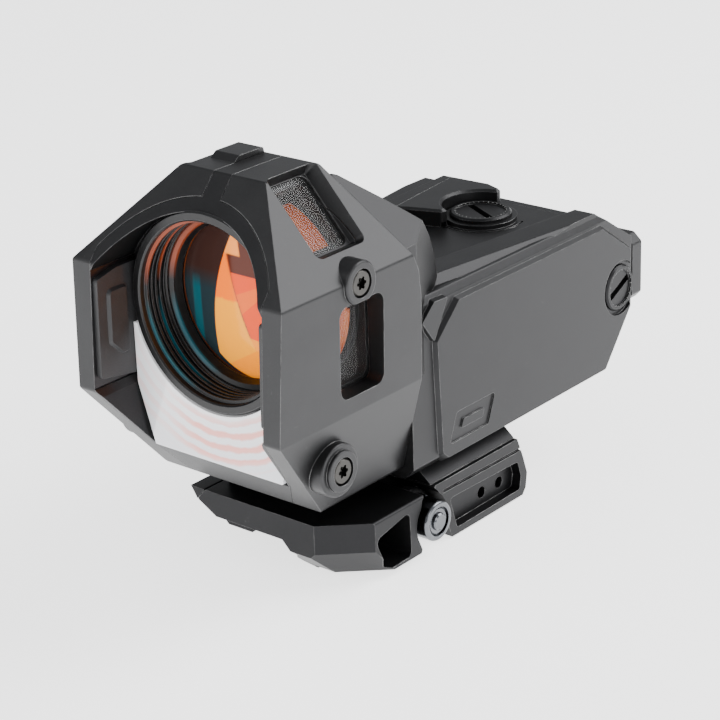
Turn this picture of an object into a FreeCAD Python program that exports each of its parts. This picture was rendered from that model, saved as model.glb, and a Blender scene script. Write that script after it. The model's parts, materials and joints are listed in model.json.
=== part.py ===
import FreeCAD
import Part
import math
import os

os.makedirs("parts", exist_ok=True)
V = FreeCAD.Vector

# ---------------------------------------------------------------- sizes, mm
# Frame: X to the side the adjusters are on, Y to the rear, Z up.
# The origin is on the rail seat, in the middle of its width.

# hood section, half widths and heights from the top down
TOP_HALF, TOP_Z = 10.5, 74.0
SHOULDER_HALF, SHOULDER_Z = 26.3, 56.5
WAIST_HALF, WAIST_Z = 25.7, 30.6
BELLY_HALF, BELLY_Z = 20.3, 10.0
HOOD_ROUND = 1.1
RIB_H = 1.1

# hood side outline: how far forward each of those heights reaches
TOP_FRONT = -33.6
SHOULDER_FRONT = -48.5
WAIST_FRONT = -49.9
BELLY_FRONT = -33.1
TOP_BACK = -19.0
SHOULDER_BACK = -9.4
HOOD_BACK = -8.6

# optics
AXIS_Z = 47.9
RING_FRONT = -39.7
RING_R = 20.0
RING_BORE = 18.0
TUBE_R = 18.3
TUBE_END = -19.05
BAFFLE_R = 17.4
BAFFLES = 5
LENS_R = 16.85
LENS_FRONT = -29.2
LENS_THICK = 5.15
LENS_SAG = 1.2
INNER_SAG = 0.9
REAR_BORE = 15.5
FIT = 0.05

# core of the hood, between the two armour shells
ARCH_Z, ARCH_R = 43.0, 26.9
ARCH_BAND = 2.3
CORE_HALF = 21.5
CORE_WAIST_Z = 29.5
BAR_HALF, BAR_Z = 17.6, 17.0
BAR_FOOT_HALF = 12.9
STRIP_HALF = 2.2
SEAM = 0.12
CORE_FACE = -37.0
BORE_END = -19.0

# hood side screws and windows
UPPER_SCREW_Y, UPPER_SCREW_Z = -27.0, 55.9
LOWER_SCREW_Y, LOWER_SCREW_Z = -34.1, 20.8
SCREW_HEAD_R, SCREW_HEAD_H, SCREW_R = 2.6, 2.1, 1.5
UPPER_LUG_R, LOWER_BOSS_R = 4.3, 5.3
LUG_FACE = 27.0
WIN_Y0, WIN_Y1, WIN_Z0, WIN_Z1 = -33.0, -19.6, 33.5, 52.6
WIN_ROUND = 2.6
GLASS_T = 1.0

# rear body
RIDGE_Z, RIDGE_IN, RIDGE_W = 45.6, 10.8, 6.2
RIDGE_Y0, RIDGE_END, RIDGE_SPREAD = 4.6, 54.8, 0.13
DECK_Z = 43.0
DIP_X, DIP_Z = 20.4, 43.9
CREST_X, CREST_Z = 22.0, 45.0
BODY_HALF = 23.2
PANEL_HALF, PANEL_Z = 24.2, 43.0
TAIL_DROP, TAIL_RISE, TAIL_FOOT = 0.65, 1.25, 57.4
BODY_FLOOR_Z = 7.8
BODY_END = 68.0
COVER_T = 4.0
GASKET_T = 0.6
CAV_HALF, CAV_Z0, CAV_Z1 = 18.5, 11.2, 40.0
CAV_Y0 = -7.0
BACK_Z0 = 25.0
PLATE_Y0, PLATE_Y1, PLATE_X0, PLATE_X1 = 5.0, 57.0, 9.8, 15.8

# adjusters
DIAL_Y, DIAL_R, DIAL_TOP = 45.1, 6.6, 45.0
DIAL_SEAT_Z = 41.2
EAR_Z = 46.8
SIDE_DIAL_Y, SIDE_DIAL_Z, SIDE_DIAL_R = 62.5, 27.0, 5.1
SIDE_DIAL_SEAT = 21.6
SLOT_W, SLOT_D = 1.6, 1.3
HUB_R = 3.2
PLUNGER_R = 1.6
SEAL_R0, SEAL_R1, SEAL_T = 3.7, 4.7, 0.6
RUN = 0.05

# carriage of the aiming mark
CARR_HALF, CARR_Y0, CARR_Y1 = 11.0, 47.5, 58.0
FINGER_Y1 = 64.2
CARR_Z0, CARR_Z1 = 19.0, 37.4
ARM_Y0, ARM_Z0 = 41.0, 34.2
HOLD_HALF, HOLD_GAP = 6.2, 1.0
POST_X, POST_Y, POST_R = 9.2, 51.0, 1.2

# rail clamp
SEAT_HALF, RAIL_HALF, RAIL_WAIST = 7.84, 10.6, 2.77
GROOVE_PITCH = 10.01
BASE_TOP = 5.2
BASE_FRONT = -31.1
BASE_REAR = 28.1
BASE_BOTTOM = -8.2
WING_BOTTOM = -7.0
FAR_HALF = 12.1
NEAR_HALF = 16.2
WING_HALF = 25.0
BOLT_Y, BOLT_Z, BOLT_R = -GROOVE_PITCH / 2.0, -1.2, 1.8
NUT_R, NUT_FACE = 4.2, 26.4
COLLAR_R = 5.2
HOLE_Y0, HOLE_PITCH, HOLE_Z, HOLE_R = 15.0, 6.0, -3.8, 1.25
JAW_OUT = 18.4
JAW_Y0, JAW_Y1 = BASE_FRONT, 14.0
JAW_STEP_Y = -20.0
JAW_TRAVEL = 2.2
LEVER_SWING = 150.0
LEVER_LEN = 34.0
CAM_R, CAM_GAP, HUB_MIN = 5.6, 0.06, 3.2
PIN_X, PIN_R = -(JAW_OUT + CAM_GAP + CAM_R), 1.5
EYE_R, EYE_T = 3.4, 3.6
LEVER_Z0, LEVER_Z1 = -5.6, 3.2
GUIDE_R, GUIDE_Z, GUIDE_Y = 1.0, 2.7, (-12.0, 8.0)
LUG_W = 4.8


# ---------------------------------------------------------------- helpers
def box(x0, x1, y0, y1, z0, z1):
    return Part.makeBox(x1 - x0, y1 - y0, z1 - z0, V(x0, y0, z0))


def cyl(p, d, r, length):
    return Part.makeCylinder(r, length, V(*p), V(*d))


def round_wire(points, r):
    """Closed wire through the points, each corner turned into an arc of radius r."""
    n = len(points)
    pts = [V(*p) for p in points]
    radii = r if isinstance(r, (list, tuple)) else [r] * n
    cuts = []
    for i in range(n):
        a = (pts[i - 1] - pts[i]).normalize()
        b = (pts[(i + 1) % n] - pts[i]).normalize()
        half = a.getAngle(b) / 2.0
        if radii[i] <= 0 or half > math.pi / 2 - 0.01:
            cuts.append((pts[i], None, pts[i]))
            continue
        t = radii[i] / math.tan(half)
        mid = (a + b).normalize()
        c = pts[i] + mid * (radii[i] / math.sin(half))
        cuts.append((pts[i] + a * t, c - mid * radii[i], pts[i] + b * t))
    edges = []
    for i in range(n):
        s, m, e = cuts[i]
        if m is not None:
            edges.append(Part.Arc(s, m, e).toShape())
        nxt = cuts[(i + 1) % n][0]
        if e.distanceToPoint(nxt) > 1e-6:
            edges.append(Part.makeLine(e, nxt))
    return Part.Wire(Part.__sortEdges__(edges))


def prism(points, direction, length, r=0.0):
    return Part.Face(round_wire(points, r)).extrude(V(*direction) * length)


def prism_x(yz, x0, x1, r=0.0):
    return prism([(x0, y, z) for y, z in yz], (1, 0, 0), x1 - x0, r)


def prism_y(xz, y0, y1, r=0.0):
    return prism([(x, y0, z) for x, z in xz], (0, 1, 0), y1 - y0, r)


def prism_z(xy, z0, z1, r=0.0):
    return prism([(x, y, z0) for x, y in xy], (0, 0, 1), z1 - z0, r)


def rect(a0, a1, b0, b1):
    return [(a0, b0), (a1, b0), (a1, b1), (a0, b1)]


def both(xz):
    """A right-hand outline from top to bottom, closed with its mirror image."""
    return list(xz) + [(-x, z) for x, z in reversed(xz)]


def mirrored(shape):
    return shape.mirror(V(0, 0, 0), V(1, 0, 0))


def ring_y(r0, r1, y0, y1, z=AXIS_Z):
    outer = cyl((0, y0, z), (0, 1, 0), r1, y1 - y0)
    return outer.cut(cyl((0, y0 - 1, z), (0, 1, 0), r0, y1 - y0 + 2))


def turned(profile, axis_point, axis_dir, edges=None):
    """Solid of revolution of a closed outline given as 3-D points."""
    wire = Part.makePolygon([V(*p) for p in profile] + [V(*profile[0])])
    return Part.Face(wire).revolve(V(*axis_point), V(*axis_dir), 360)


def tapered(yz, x0, x1, inset, r):
    """Raised pad: outline yz at x0, the same outline moved in by inset at x1."""
    cy = sum(p[0] for p in yz) / len(yz)
    cz = sum(p[1] for p in yz) / len(yz)
    h = max(abs(p[0] - cy) for p in yz)
    v = max(abs(p[1] - cz) for p in yz)
    small = [(cy + (y - cy) * (h - inset) / h, cz + (z - cz) * (v - inset) / v) for y, z in yz]
    w0 = round_wire([(x0, y, z) for y, z in yz], r)
    w1 = round_wire([(x1, y, z) for y, z in small], max(r - inset, 0.3))
    return Part.makeLoft([w0, w1], True, True)


def star_drive(p, d, r, depth):
    """Six-lobed socket, cut down from point p along d."""
    dv = V(*d)
    u = dv.cross(V(0, 0, 1))
    if u.Length < 0.1:
        u = V(1, 0, 0)
    u.normalize()
    w = dv.cross(u).normalize()
    tool = Part.makeCylinder(r * 0.74, depth, V(*p), dv)
    for i in range(6):
        t = i * math.pi / 3.0
        c = V(*p) + u * (r * 0.74 * math.cos(t)) + w * (r * 0.74 * math.sin(t))
        tool = tool.fuse(Part.makeCylinder(r * 0.26, depth, c, dv))
    return tool


def socket_screw(face, d, shank):
    """Pan-head screw: face is the middle of the head's outer face, d points into the work."""
    f = V(*face)
    dv = V(*d)
    head = Part.makeCylinder(SCREW_HEAD_R, SCREW_HEAD_H, f, dv)
    head = head.makeChamfer(0.35, [e for e in head.Edges if closed_at(e, f, dv, 0.0)])
    body = head.fuse(Part.makeCylinder(SCREW_R, shank, f + dv * SCREW_HEAD_H, dv))
    return body.cut(star_drive(face, d, 1.35, 1.3)).removeSplitter()


def closed_at(edge, p, d, dist):
    c = edge.BoundBox.Center - p
    return edge.isClosed() and abs(c.dot(d) - dist) < 1e-4 and edge.Length > 6.0


def wave_spring(r0, r1, wall, pitch, height, base):
    """Corrugated spring standing on base: a wall that swings between r0 and r1."""
    steps = int(height / pitch)
    inner = [(r0 if i % 2 == 0 else r1 - wall, height * i / steps) for i in range(steps + 1)]
    outline = inner + [(r + wall, z) for r, z in reversed(inner)]
    return turned([(base[0] + r, base[1], base[2] + z) for r, z in outline], base, (0, 0, 1))


NODES = {}


def keep(name, shape):
    solids = shape.Solids
    NODES[name] = solids[0] if len(solids) == 1 else shape


# ---------------------------------------------------------------- hood outlines
OUTER = both([(TOP_HALF, TOP_Z), (SHOULDER_HALF, SHOULDER_Z), (WAIST_HALF, WAIST_Z),
              (BELLY_HALF, BELLY_Z)])
SIDE_VIEW = [(TOP_FRONT, TOP_Z), (SHOULDER_FRONT, SHOULDER_Z), (WAIST_FRONT, WAIST_Z),
             (BELLY_FRONT, BELLY_Z), (HOOD_BACK, BELLY_Z), (HOOD_BACK, SHOULDER_Z - 9.0),
             (SHOULDER_BACK, SHOULDER_Z - 3.4), (TOP_BACK, TOP_Z)]
Y_MIN = WAIST_FRONT - 1.0

outer_prism = prism_y(OUTER, Y_MIN, HOOD_BACK, HOOD_ROUND)
side_cut = prism_x(SIDE_VIEW, -40, 40, [0.6, 1.2, 1.2, 0.6, 0, 0, 2.0, 1.0])
hood_block = outer_prism.common(side_cut)


def core_section(grow, y0, y1):
    """Middle frame of the hood, made larger all round by grow."""
    arch = cyl((0, y0, ARCH_Z), (0, 1, 0), ARCH_R + grow, y1 - y0)
    width = box(-CORE_HALF - grow, CORE_HALF + grow, y0, y1, CORE_WAIST_Z, TOP_Z + 5)
    lower = prism_y(both([(CORE_HALF + grow, CORE_WAIST_Z), (BAR_HALF + grow, BAR_Z),
                          (BAR_FOOT_HALF + grow, BELLY_Z - 0.02)]), y0, y1)
    strip = box(-STRIP_HALF - grow, STRIP_HALF + grow, y0, y1, AXIS_Z, TOP_Z + 5)
    return arch.common(width).fuse([lower, strip]).removeSplitter()


# upper windows lie square on the sloping shoulder facet
FACET_DX = SHOULDER_HALF - TOP_HALF
FACET_DZ = TOP_Z - SHOULDER_Z
FACET_ANGLE = math.degrees(math.atan2(FACET_DZ, FACET_DX))
UP_Y0, UP_Y1 = -33.2, -20.2
UP_S0, UP_S1 = -0.6, 16.6
UP_DEEP = 2.7


def on_facet(s0, s1, y0, y1, w0, w1, r):
    """Block on the right-hand shoulder facet: s down the slope, w out of it."""
    s = prism_z(rect(s0, s1, y0, y1), w0, w1, r)
    s.rotate(V(0, 0, 0), V(0, 1, 0), FACET_ANGLE)
    s.translate(V(TOP_HALF, 0, TOP_Z))
    return s


# ---------------------------------------------------------------- armour shells
def window_cut():
    pocket = tapered(rect(WIN_Y0, WIN_Y1, WIN_Z0, WIN_Z1), LUG_FACE + 1.0, 22.6, 0.9, WIN_ROUND)
    seat = prism_x(rect(WIN_Y0 - 0.2, WIN_Y1 + 0.2, WIN_Z0 - 0.2, WIN_Z1 + 0.2),
                   CORE_HALF - 1.0, CORE_HALF + SEAM + GLASS_T, WIN_ROUND)
    return pocket.fuse(seat)


def upper_window_cut():
    """Well with sloping walls, the seat of the pane and the light passage below it."""
    well = tapered(rect(UP_Y0 - 0.2, UP_Y1 + 0.9, -UP_S1 - 1.0, -UP_S0 + 0.6), 0.4, -UP_DEEP,
                   1.5, 1.8)
    well.rotate(V(0, 0, 0), V(0, 1, 0), FACET_ANGLE - 90.0)
    well.translate(V(TOP_HALF, 0, TOP_Z))
    seat = on_facet(UP_S0 + 1.0, UP_S1 - 0.8, UP_Y0 + 0.8, UP_Y1 - 0.8, -UP_DEEP - 0.9, 0, 1.8)
    passage = on_facet(UP_S0 + 2.2, UP_S1 - 2.0, UP_Y0 + 2.0, UP_Y1 - 2.0, -7.5, 0, 1.2)
    return well.fuse([seat, passage])


def shell_right(with_rib):
    s = hood_block.copy()
    lug = cyl((CORE_HALF + 1, UPPER_SCREW_Y, UPPER_SCREW_Z), (1, 0, 0), UPPER_LUG_R,
              LUG_FACE - CORE_HALF - 1)
    lug = lug.makeFillet(0.5, [e for e in lug.Edges if abs(e.BoundBox.Center.x - LUG_FACE) < 1e-4])
    boss = cyl((BAR_HALF + 2.5, LOWER_SCREW_Y, LOWER_SCREW_Z), (1, 0, 0), LOWER_BOSS_R,
               LUG_FACE - BAR_HALF - 3.3)
    boss = boss.makeFillet(0.4, [e for e in boss.Edges
                                 if abs(e.BoundBox.Center.x - LUG_FACE + 0.8) < 1e-4])
    rim = cyl((BAR_HALF + 2.5, LOWER_SCREW_Y, LOWER_SCREW_Z), (1, 0, 0), LOWER_BOSS_R - 1.2,
              LUG_FACE - BAR_HALF - 2.5)
    rim = rim.makeFillet(0.3, [e for e in rim.Edges if abs(e.BoundBox.Center.x - LUG_FACE) < 1e-4])
    s = s.fuse([lug, boss, rim])
    s = s.cut(window_cut())
    s = s.cut(upper_window_cut())
    if with_rib:
        rib = prism_x([(TOP_BACK - 10.5, TOP_Z - 1), (TOP_BACK - 7.5, TOP_Z + RIB_H),
                       (TOP_BACK - 0.8, TOP_Z + RIB_H), (TOP_BACK + 0.4, TOP_Z - 3),
                       (TOP_BACK - 3.0, TOP_Z - 4)], STRIP_HALF, TOP_HALF - 2.2, 0.5)
        s = s.fuse(rib)
    s = s.cut(core_section(SEAM, Y_MIN, HOOD_BACK + 1))
    s = s.cut(box(-60, 0, -60, 10, -10, 90))
    for y, z in ((UPPER_SCREW_Y, UPPER_SCREW_Z), (LOWER_SCREW_Y, LOWER_SCREW_Z)):
        s = s.cut(cyl((10, y, z), (1, 0, 0), SCREW_R + 0.15, 30))
        s = s.cut(cyl((LUG_FACE - SCREW_HEAD_H - 0.1, y, z), (1, 0, 0), SCREW_HEAD_R + 0.2, 5))
    return s.removeSplitter()


shell_near = shell_right(False)
shell_far = mirrored(shell_right(True))
keep("hood_shell_left", shell_near)
keep("hood_shell_right", shell_far)

for side, name in ((1, "left"), (-1, "right")):
    def put(shape, node):
        keep(node + "_" + name, shape if side == 1 else mirrored(shape))

    put(socket_screw((LUG_FACE - 0.1, UPPER_SCREW_Y, UPPER_SCREW_Z), (-1, 0, 0), 4.9),
        "hood_screw_upper")
    put(socket_screw((LUG_FACE - 0.1, LOWER_SCREW_Y, LOWER_SCREW_Z), (-1, 0, 0), 10.0),
        "hood_screw_lower")
    glass = prism_x(rect(WIN_Y0 - 0.1, WIN_Y1 + 0.1, WIN_Z0 - 0.1, WIN_Z1 + 0.1),
                    CORE_HALF + SEAM, CORE_HALF + SEAM + GLASS_T - FIT, WIN_ROUND)
    put(glass, "side_window")
    put(on_facet(UP_S0 + 1.1, UP_S1 - 0.9, UP_Y0 + 0.9, UP_Y1 - 0.9, -UP_DEEP - 0.9, -UP_DEEP, 1.7),
        "upper_window")
    liner = prism_x([(-48.2, SHOULDER_Z - 3.5), (-48.9, WAIST_Z + 2.5), (-39.8, WAIST_Z + 1.0),
                     (-37.05, WAIST_Z + 1.0), (-37.05, SHOULDER_Z - 2.3), (-43.0, SHOULDER_Z - 2.3)],
                    CORE_HALF - 1.1, CORE_HALF + SEAM, 0.8)
    pad = tapered([(-46.0, SHOULDER_Z - 6.0), (-46.3, WAIST_Z + 9.0), (-43.0, WAIST_Z + 6.0),
                   (-40.8, WAIST_Z + 6.0), (-40.8, SHOULDER_Z - 6.0)], CORE_HALF - 1.1,
                  CORE_HALF - 1.7, 0.5, 1.2)
    put(liner.fuse(pad).removeSplitter(), "hood_liner")

# ---------------------------------------------------------------- housing: hood core and rear body
core = hood_block.common(core_section(0.0, Y_MIN, HOOD_BACK + 1))
mouth = cyl((0, Y_MIN - 1, ARCH_Z), (0, 1, 0), ARCH_R - ARCH_BAND, CORE_FACE - Y_MIN + 1)
mouth = mouth.common(box(-CORE_HALF - 1, CORE_HALF + 1, -60, 0, BAR_Z - 0.2, 90))
mouth = mouth.fuse(prism_y(both([(CORE_HALF - 1.0, ARCH_Z), (CORE_HALF - 1.0, CORE_WAIST_Z),
                                 (BAR_HALF - 0.4, BAR_Z - 0.2)]), Y_MIN - 1, CORE_FACE))
core = core.cut(mouth)
core = core.cut(cyl((0, CORE_FACE - 1, AXIS_Z), (0, 1, 0), RING_R + FIT, BORE_END - CORE_FACE + 1))
core = core.cut(cyl((0, BORE_END - 1, AXIS_Z), (0, 1, 0), REAR_BORE, 3.0))

section = both([(DIP_X - 0.4, DIP_Z), (CREST_X - 0.5, CREST_Z), (CREST_X + 0.3, CREST_Z),
                (BODY_HALF, CREST_Z - 1.6), (BODY_HALF, BODY_FLOOR_Z + 2.5),
                (BODY_HALF - 2.5, BODY_FLOOR_Z)])
body = prism_y(section, HOOD_BACK - 0.02, BODY_END, [0.8, 0.5, 0.4, 0.5, 0.8, 0.8] * 2)


def ridge_edge(y, out=0.0):
    """Distance of the ridge's inner edge from the middle, at y."""
    return RIDGE_IN + RIDGE_SPREAD * (y - RIDGE_Y0) + out


deck = prism_z([(ridge_edge(RIDGE_Y0), RIDGE_Y0), (ridge_edge(BODY_END), BODY_END),
                (-ridge_edge(BODY_END), BODY_END), (-ridge_edge(RIDGE_Y0), RIDGE_Y0)],
               DECK_Z, DECK_Z + 10)
deck = deck.fuse(box(-ridge_edge(RIDGE_Y0), ridge_edge(RIDGE_Y0), HOOD_BACK - 1, RIDGE_Y0,
                     DECK_Z, DECK_Z + 10))
body = body.cut(deck)
ridge = prism([(RIDGE_IN, RIDGE_Y0, DECK_Z - 2), (RIDGE_IN, RIDGE_Y0, RIDGE_Z),
               (RIDGE_IN + RIDGE_W, RIDGE_Y0, RIDGE_Z), (RIDGE_IN + RIDGE_W + 1.7, RIDGE_Y0, DIP_Z - 0.1),
               (RIDGE_IN + RIDGE_W + 1.7, RIDGE_Y0, DECK_Z - 2)],
              (RIDGE_SPREAD, 1, 0), BODY_END - RIDGE_Y0, [0, 0.3, 0.4, 0.6, 0])
ridge = ridge.common(box(0, CREST_X + 0.5, 0, BODY_END, 0, 90))
body = body.fuse([ridge, mirrored(ridge)])


def tail_top(y, drop=0.0):
    return RIDGE_Z - drop - TAIL_DROP * (y - RIDGE_END)


def tail_foot(y, lift=0.0):
    return BODY_FLOOR_Z + lift + TAIL_RISE * (y - TAIL_FOOT)


tail = prism_x([(-20, 90), (-20, BODY_FLOOR_Z - 0.1), (TAIL_FOOT - 0.08, BODY_FLOOR_Z - 0.1),
                (BODY_END, tail_foot(BODY_END)), (BODY_END, tail_top(BODY_END)),
                (RIDGE_END - 0.2, RIDGE_Z + 0.13), (RIDGE_END - 0.2, 90)], -40, 40, 0.0)
body = body.common(tail)

# side pads, with the clipped corners
PANEL = [(4.9, PANEL_Z), (RIDGE_END + 1.4, PANEL_Z + 0.2), (BODY_END - 0.6, tail_top(BODY_END, 1.8)),
         (BODY_END - 0.6, tail_foot(BODY_END, 1.0)), (TAIL_FOOT + 0.4, BODY_FLOOR_Z + 1.2),
         (0.6, BODY_FLOOR_Z + 1.0), (-1.2, BODY_FLOOR_Z + 2.6), (-2.4, 36.0)]
pads = []
fairing = tapered([(-7.2, 40.5), (-2.2, 44.6), (3.4, 44.4), (-2.4, 34.4)], BODY_HALF - 2.5,
                  PANEL_HALF - 0.1, 1.3, 0.8)
for m in (1, -1):
    pad = tapered(PANEL, BODY_HALF - 0.6, PANEL_HALF, 1.0, 1.6)
    lobe = fairing
    if m < 0:
        pad = mirrored(pad)
        lobe = mirrored(lobe)
    pads += [pad, lobe]

# swept cheeks that carry the hood down onto the ridges
CHEEK_END = 7.0
cheek = prism_x([(TOP_BACK - 3, 71.5), (TOP_BACK + 2.4, 71.5), (-9.2, 65.6), (-4.2, 61.3), (1.7, 55.4),
                 (4.6, 51.1), (5.8, 48.3), (CHEEK_END, RIDGE_Z), (CHEEK_END, 30.0),
                 (HOOD_BACK - 6, 30.0)], RIDGE_IN + 1.0, SHOULDER_HALF,
                [0, 1.5, 3, 3, 3, 2, 1, 1.0, 0, 0])
cheek = cheek.common(prism_z([(0, -30), (SHOULDER_HALF - 1.0, -30), (SHOULDER_HALF - 1.2, HOOD_BACK),
                              (ridge_edge(CHEEK_END, RIDGE_W + 0.4), CHEEK_END), (0, CHEEK_END)],
                             20, 90))
cheek = cheek.common(prism_y(OUTER, Y_MIN, 20, HOOD_ROUND))
cheek = cheek.cut(hood_block)

housing = core.fuse([body, cheek, mirrored(cheek)] + pads).removeSplitter()

# neck between the hood core and the body, and what is cut out of it
cavity = prism_x([(CAV_Y0, CAV_Z0), (TAIL_FOOT - 2.2, CAV_Z0), (BODY_END - 2.0, BACK_Z0 - 0.3),
                  (BODY_END - 1.7, BACK_Z0), (BODY_END + 1, BACK_Z0), (BODY_END + 1, CAV_Z1 - 6.4),
                  (BODY_END, CAV_Z1 - 6.4), (RIDGE_END + 3.4, CAV_Z1), (CAV_Y0, CAV_Z1)],
                 -CAV_HALF, CAV_HALF)
housing = housing.cut(cavity)
housing = housing.cut(box(-6, 6, BORE_END - 0.5, CAV_Y0 + 1, 34.0, 40.0))
REAR_WIN = rect(-13.2, 13.2, 47.0, 62.5)
FRAME_WIN = rect(-14.8, 14.8, 45.4, 64.1)
housing = housing.cut(prism_y(FRAME_WIN, BORE_END + 1.4, 5.0, 2.6))
housing = housing.cut(box(-14.8, 14.8, -6.0, 5.0, DECK_Z, 60))
for m in (1, -1):
    w = prism_x(rect(WIN_Y0 + 1.0, WIN_Y1 - 0.4, WIN_Z0 + 1.0, WIN_Z1 - 1.0), 12, 30, 2.0)
    u = upper_window_cut()
    holes = cyl((14, UPPER_SCREW_Y, UPPER_SCREW_Z), (1, 0, 0), SCREW_R + 0.02, 12)
    holes = holes.common(cyl((LUG_FACE - 7.3, UPPER_SCREW_Y, UPPER_SCREW_Z), (1, 0, 0), 3, 9))
    low = cyl((LUG_FACE - 12.4, LOWER_SCREW_Y, LOWER_SCREW_Z), (1, 0, 0), SCREW_R + 0.02, 12)
    for tool in (w, u, holes, low):
        housing = housing.cut(tool if m > 0 else mirrored(tool))

# dial wells, recesses and marks
housing = housing.fuse(cyl((0, DIAL_Y, DECK_Z - 0.5), (0, 0, 1), DIAL_R + 1.2, 1.5))
ear = prism_z([(-ridge_edge(DIAL_Y) - 1.0, DIAL_Y - 15.0), (-DIAL_R - 3.6, DIAL_Y - 11.5),
               (-3.4, DIAL_Y - DIAL_R - 2.6), (-1.6, DIAL_Y), (-1.6, DIAL_Y + DIAL_R + 3.0),
               (-6.0, RIDGE_END + 1.6), (-ridge_edge(RIDGE_END) - 1.0, RIDGE_END + 1.0)],
              DECK_Z - 0.5, EAR_Z, [0, 1.0, 1.0, 0, 1.0, 1.5, 0])
ear = ear.cut(cyl((0, DIAL_Y, DECK_Z - 2), (0, 0, 1), DIAL_R + 1.7, 10))
ear = ear.makeChamfer(0.5, [e for e in ear.Edges if e.BoundBox.ZMin > EAR_Z - 0.01])
step = prism_y([(-RIDGE_IN - 3.5, DECK_Z - 0.5), (-RIDGE_IN + 2.4, DECK_Z - 0.5),
                (-RIDGE_IN + 0.2, DECK_Z + 2.2), (-RIDGE_IN - 3.5, DECK_Z + 2.2)],
               4.0, DIAL_Y - 10.5, [0, 0, 0.5, 0])
housing = housing.fuse([ear, step]).removeSplitter()
housing = housing.cut(cyl((0, DIAL_Y, DIAL_SEAT_Z), (0, 0, 1), DIAL_R + RUN, 10))
housing = housing.cut(cyl((0, DIAL_Y, 30), (0, 0, 1), HUB_R + RUN, 20))
housing = housing.cut(cyl((SIDE_DIAL_SEAT, SIDE_DIAL_Y, SIDE_DIAL_Z), (1, 0, 0), SIDE_DIAL_R + RUN, 10))
housing = housing.cut(cyl((PANEL_HALF - 0.8, SIDE_DIAL_Y, SIDE_DIAL_Z), (1, 0, 0),
                          SIDE_DIAL_R + 1.0, 5))
housing = housing.cut(cyl((10, SIDE_DIAL_Y, SIDE_DIAL_Z), (1, 0, 0), HUB_R + RUN, 20))
housing = housing.cut(cyl((0, DIAL_Y, DIAL_SEAT_Z - SEAL_T), (0, 0, 1), SEAL_R1, 3))
housing = housing.cut(cyl((SIDE_DIAL_SEAT - SEAL_T, SIDE_DIAL_Y, SIDE_DIAL_Z), (1, 0, 0), SEAL_R1, 3))

# plain recessed lozenge on both side pads
MARK = [(1.8, 12.4), (14.6, 12.4), (17.0, 18.6), (4.2, 18.6)]
for m in (1, -1):
    t = prism_x(MARK, PANEL_HALF - 0.35, PANEL_HALF + 2, 0.6)
    bar = prism_x([(5.6, 14.6), (12.6, 14.6), (13.4, 16.4), (6.4, 16.4)], PANEL_HALF - 1,
                  PANEL_HALF + 3, 0.3)
    t = t.cut(bar)
    housing = housing.cut(t if m > 0 else mirrored(t))

# direction arc beside the top dial
arc_mark = cyl((0, DIAL_Y, DECK_Z - 0.3), (0, 0, 1), DIAL_R + 2.7, 1)
arc_mark = arc_mark.cut(cyl((0, DIAL_Y, DECK_Z - 1), (0, 0, 1), DIAL_R + 2.1, 3))
arc_mark = arc_mark.common(prism_z([(1.5, DIAL_Y), (12, DIAL_Y + 6), (12, DIAL_Y - 12),
                                    (-6, DIAL_Y - 12)], 40, 50))
head_mark = prism_z([(-2.6, DIAL_Y - 9.9), (-2.6, DIAL_Y - 7.5), (-4.8, DIAL_Y - 8.2)],
                    DECK_Z - 0.3, DECK_Z + 1)
housing = housing.cut(arc_mark.fuse(head_mark))

# fixings for the clamp and the rear cover
BASE_SCREWS = [(-5.5, -17.0), (5.5, -17.0), (-5.5, 20.0), (5.5, 20.0)]
BASE_SCREW_R = 1.75
for x, y in BASE_SCREWS:
    top = CAV_Z0 - 0.8 if y > 0 else BELLY_Z + 6.5
    housing = housing.cut(cyl((x, y, 5), (0, 0, 1), BASE_SCREW_R + 0.02, top - 5 + 0.1))
COVER_SCREWS = [(19.9, 33.0), (-19.9, 33.0), (19.9, 22.9), (-19.9, 22.9)]
for x, z in COVER_SCREWS:
    housing = housing.cut(cyl((x, BODY_END - 2.2, z), (0, 1, 0), 1.02, 7))
for m in (1, -1):
    housing = housing.fuse(cyl((m * POST_X, POST_Y, CAV_Z0 - 0.5), (0, 0, 1), POST_R + 1.2, 1.5))
    housing = housing.cut(cyl((m * POST_X, POST_Y, CAV_Z0 - 1.5), (0, 0, 1), POST_R, CAV_Z1 -
                              CAV_Z0 + 2.5))
def plate_room(gap):
    return prism_z([(PLATE_X0 + gap, PLATE_Y0 - gap), (PLATE_X1 + gap, PLATE_Y1 + gap),
                    (-PLATE_X1 - gap, PLATE_Y1 + gap), (-PLATE_X0 - gap, PLATE_Y0 - gap)],
                   CAV_Z1 - 1, 70)


plate = housing.common(plate_room(0.0))
housing = housing.cut(plate_room(FIT))
ledge = box(-PLATE_X0, PLATE_X0, PLATE_Y0 - 1.0, PLATE_Y0 + 4.0, CAV_Z1 - 2.5, CAV_Z1)
shelf = box(-PLATE_X1, PLATE_X1, PLATE_Y1 - 2.0, PLATE_Y1 + 1.0, CAV_Z1 - 1.5, CAV_Z1)
housing = housing.fuse([ledge, shelf])
for i, x in enumerate((2.6 - PLATE_X0, PLATE_X0 - 2.6)):
    y = PLATE_Y0 + 2.6
    plate = plate.cut(cyl((x, y, 30), (0, 0, 1), 1.1, 30))
    plate = plate.cut(cyl((x, y, DECK_Z - 1.4), (0, 0, 1), 2.0, 30))
    housing = housing.cut(cyl((x, y, CAV_Z1 - 2.6), (0, 0, 1), 1.02, 5))
    screw = cyl((x, y, DECK_Z - 1.35), (0, 0, 1), 1.9, 1.25).fuse(
        cyl((x, y, CAV_Z1 - 2.5), (0, 0, 1), 1.0, DECK_Z - CAV_Z1 + 1.3))
    screw = screw.cut(star_drive((x, y, DECK_Z - 0.1), (0, 0, -1), 1.0, 0.8))
    keep("deck_screw_%d" % (i + 1), screw.removeSplitter())
keep("deck_plate", plate.removeSplitter())
keep("housing", housing.removeSplitter())

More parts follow.
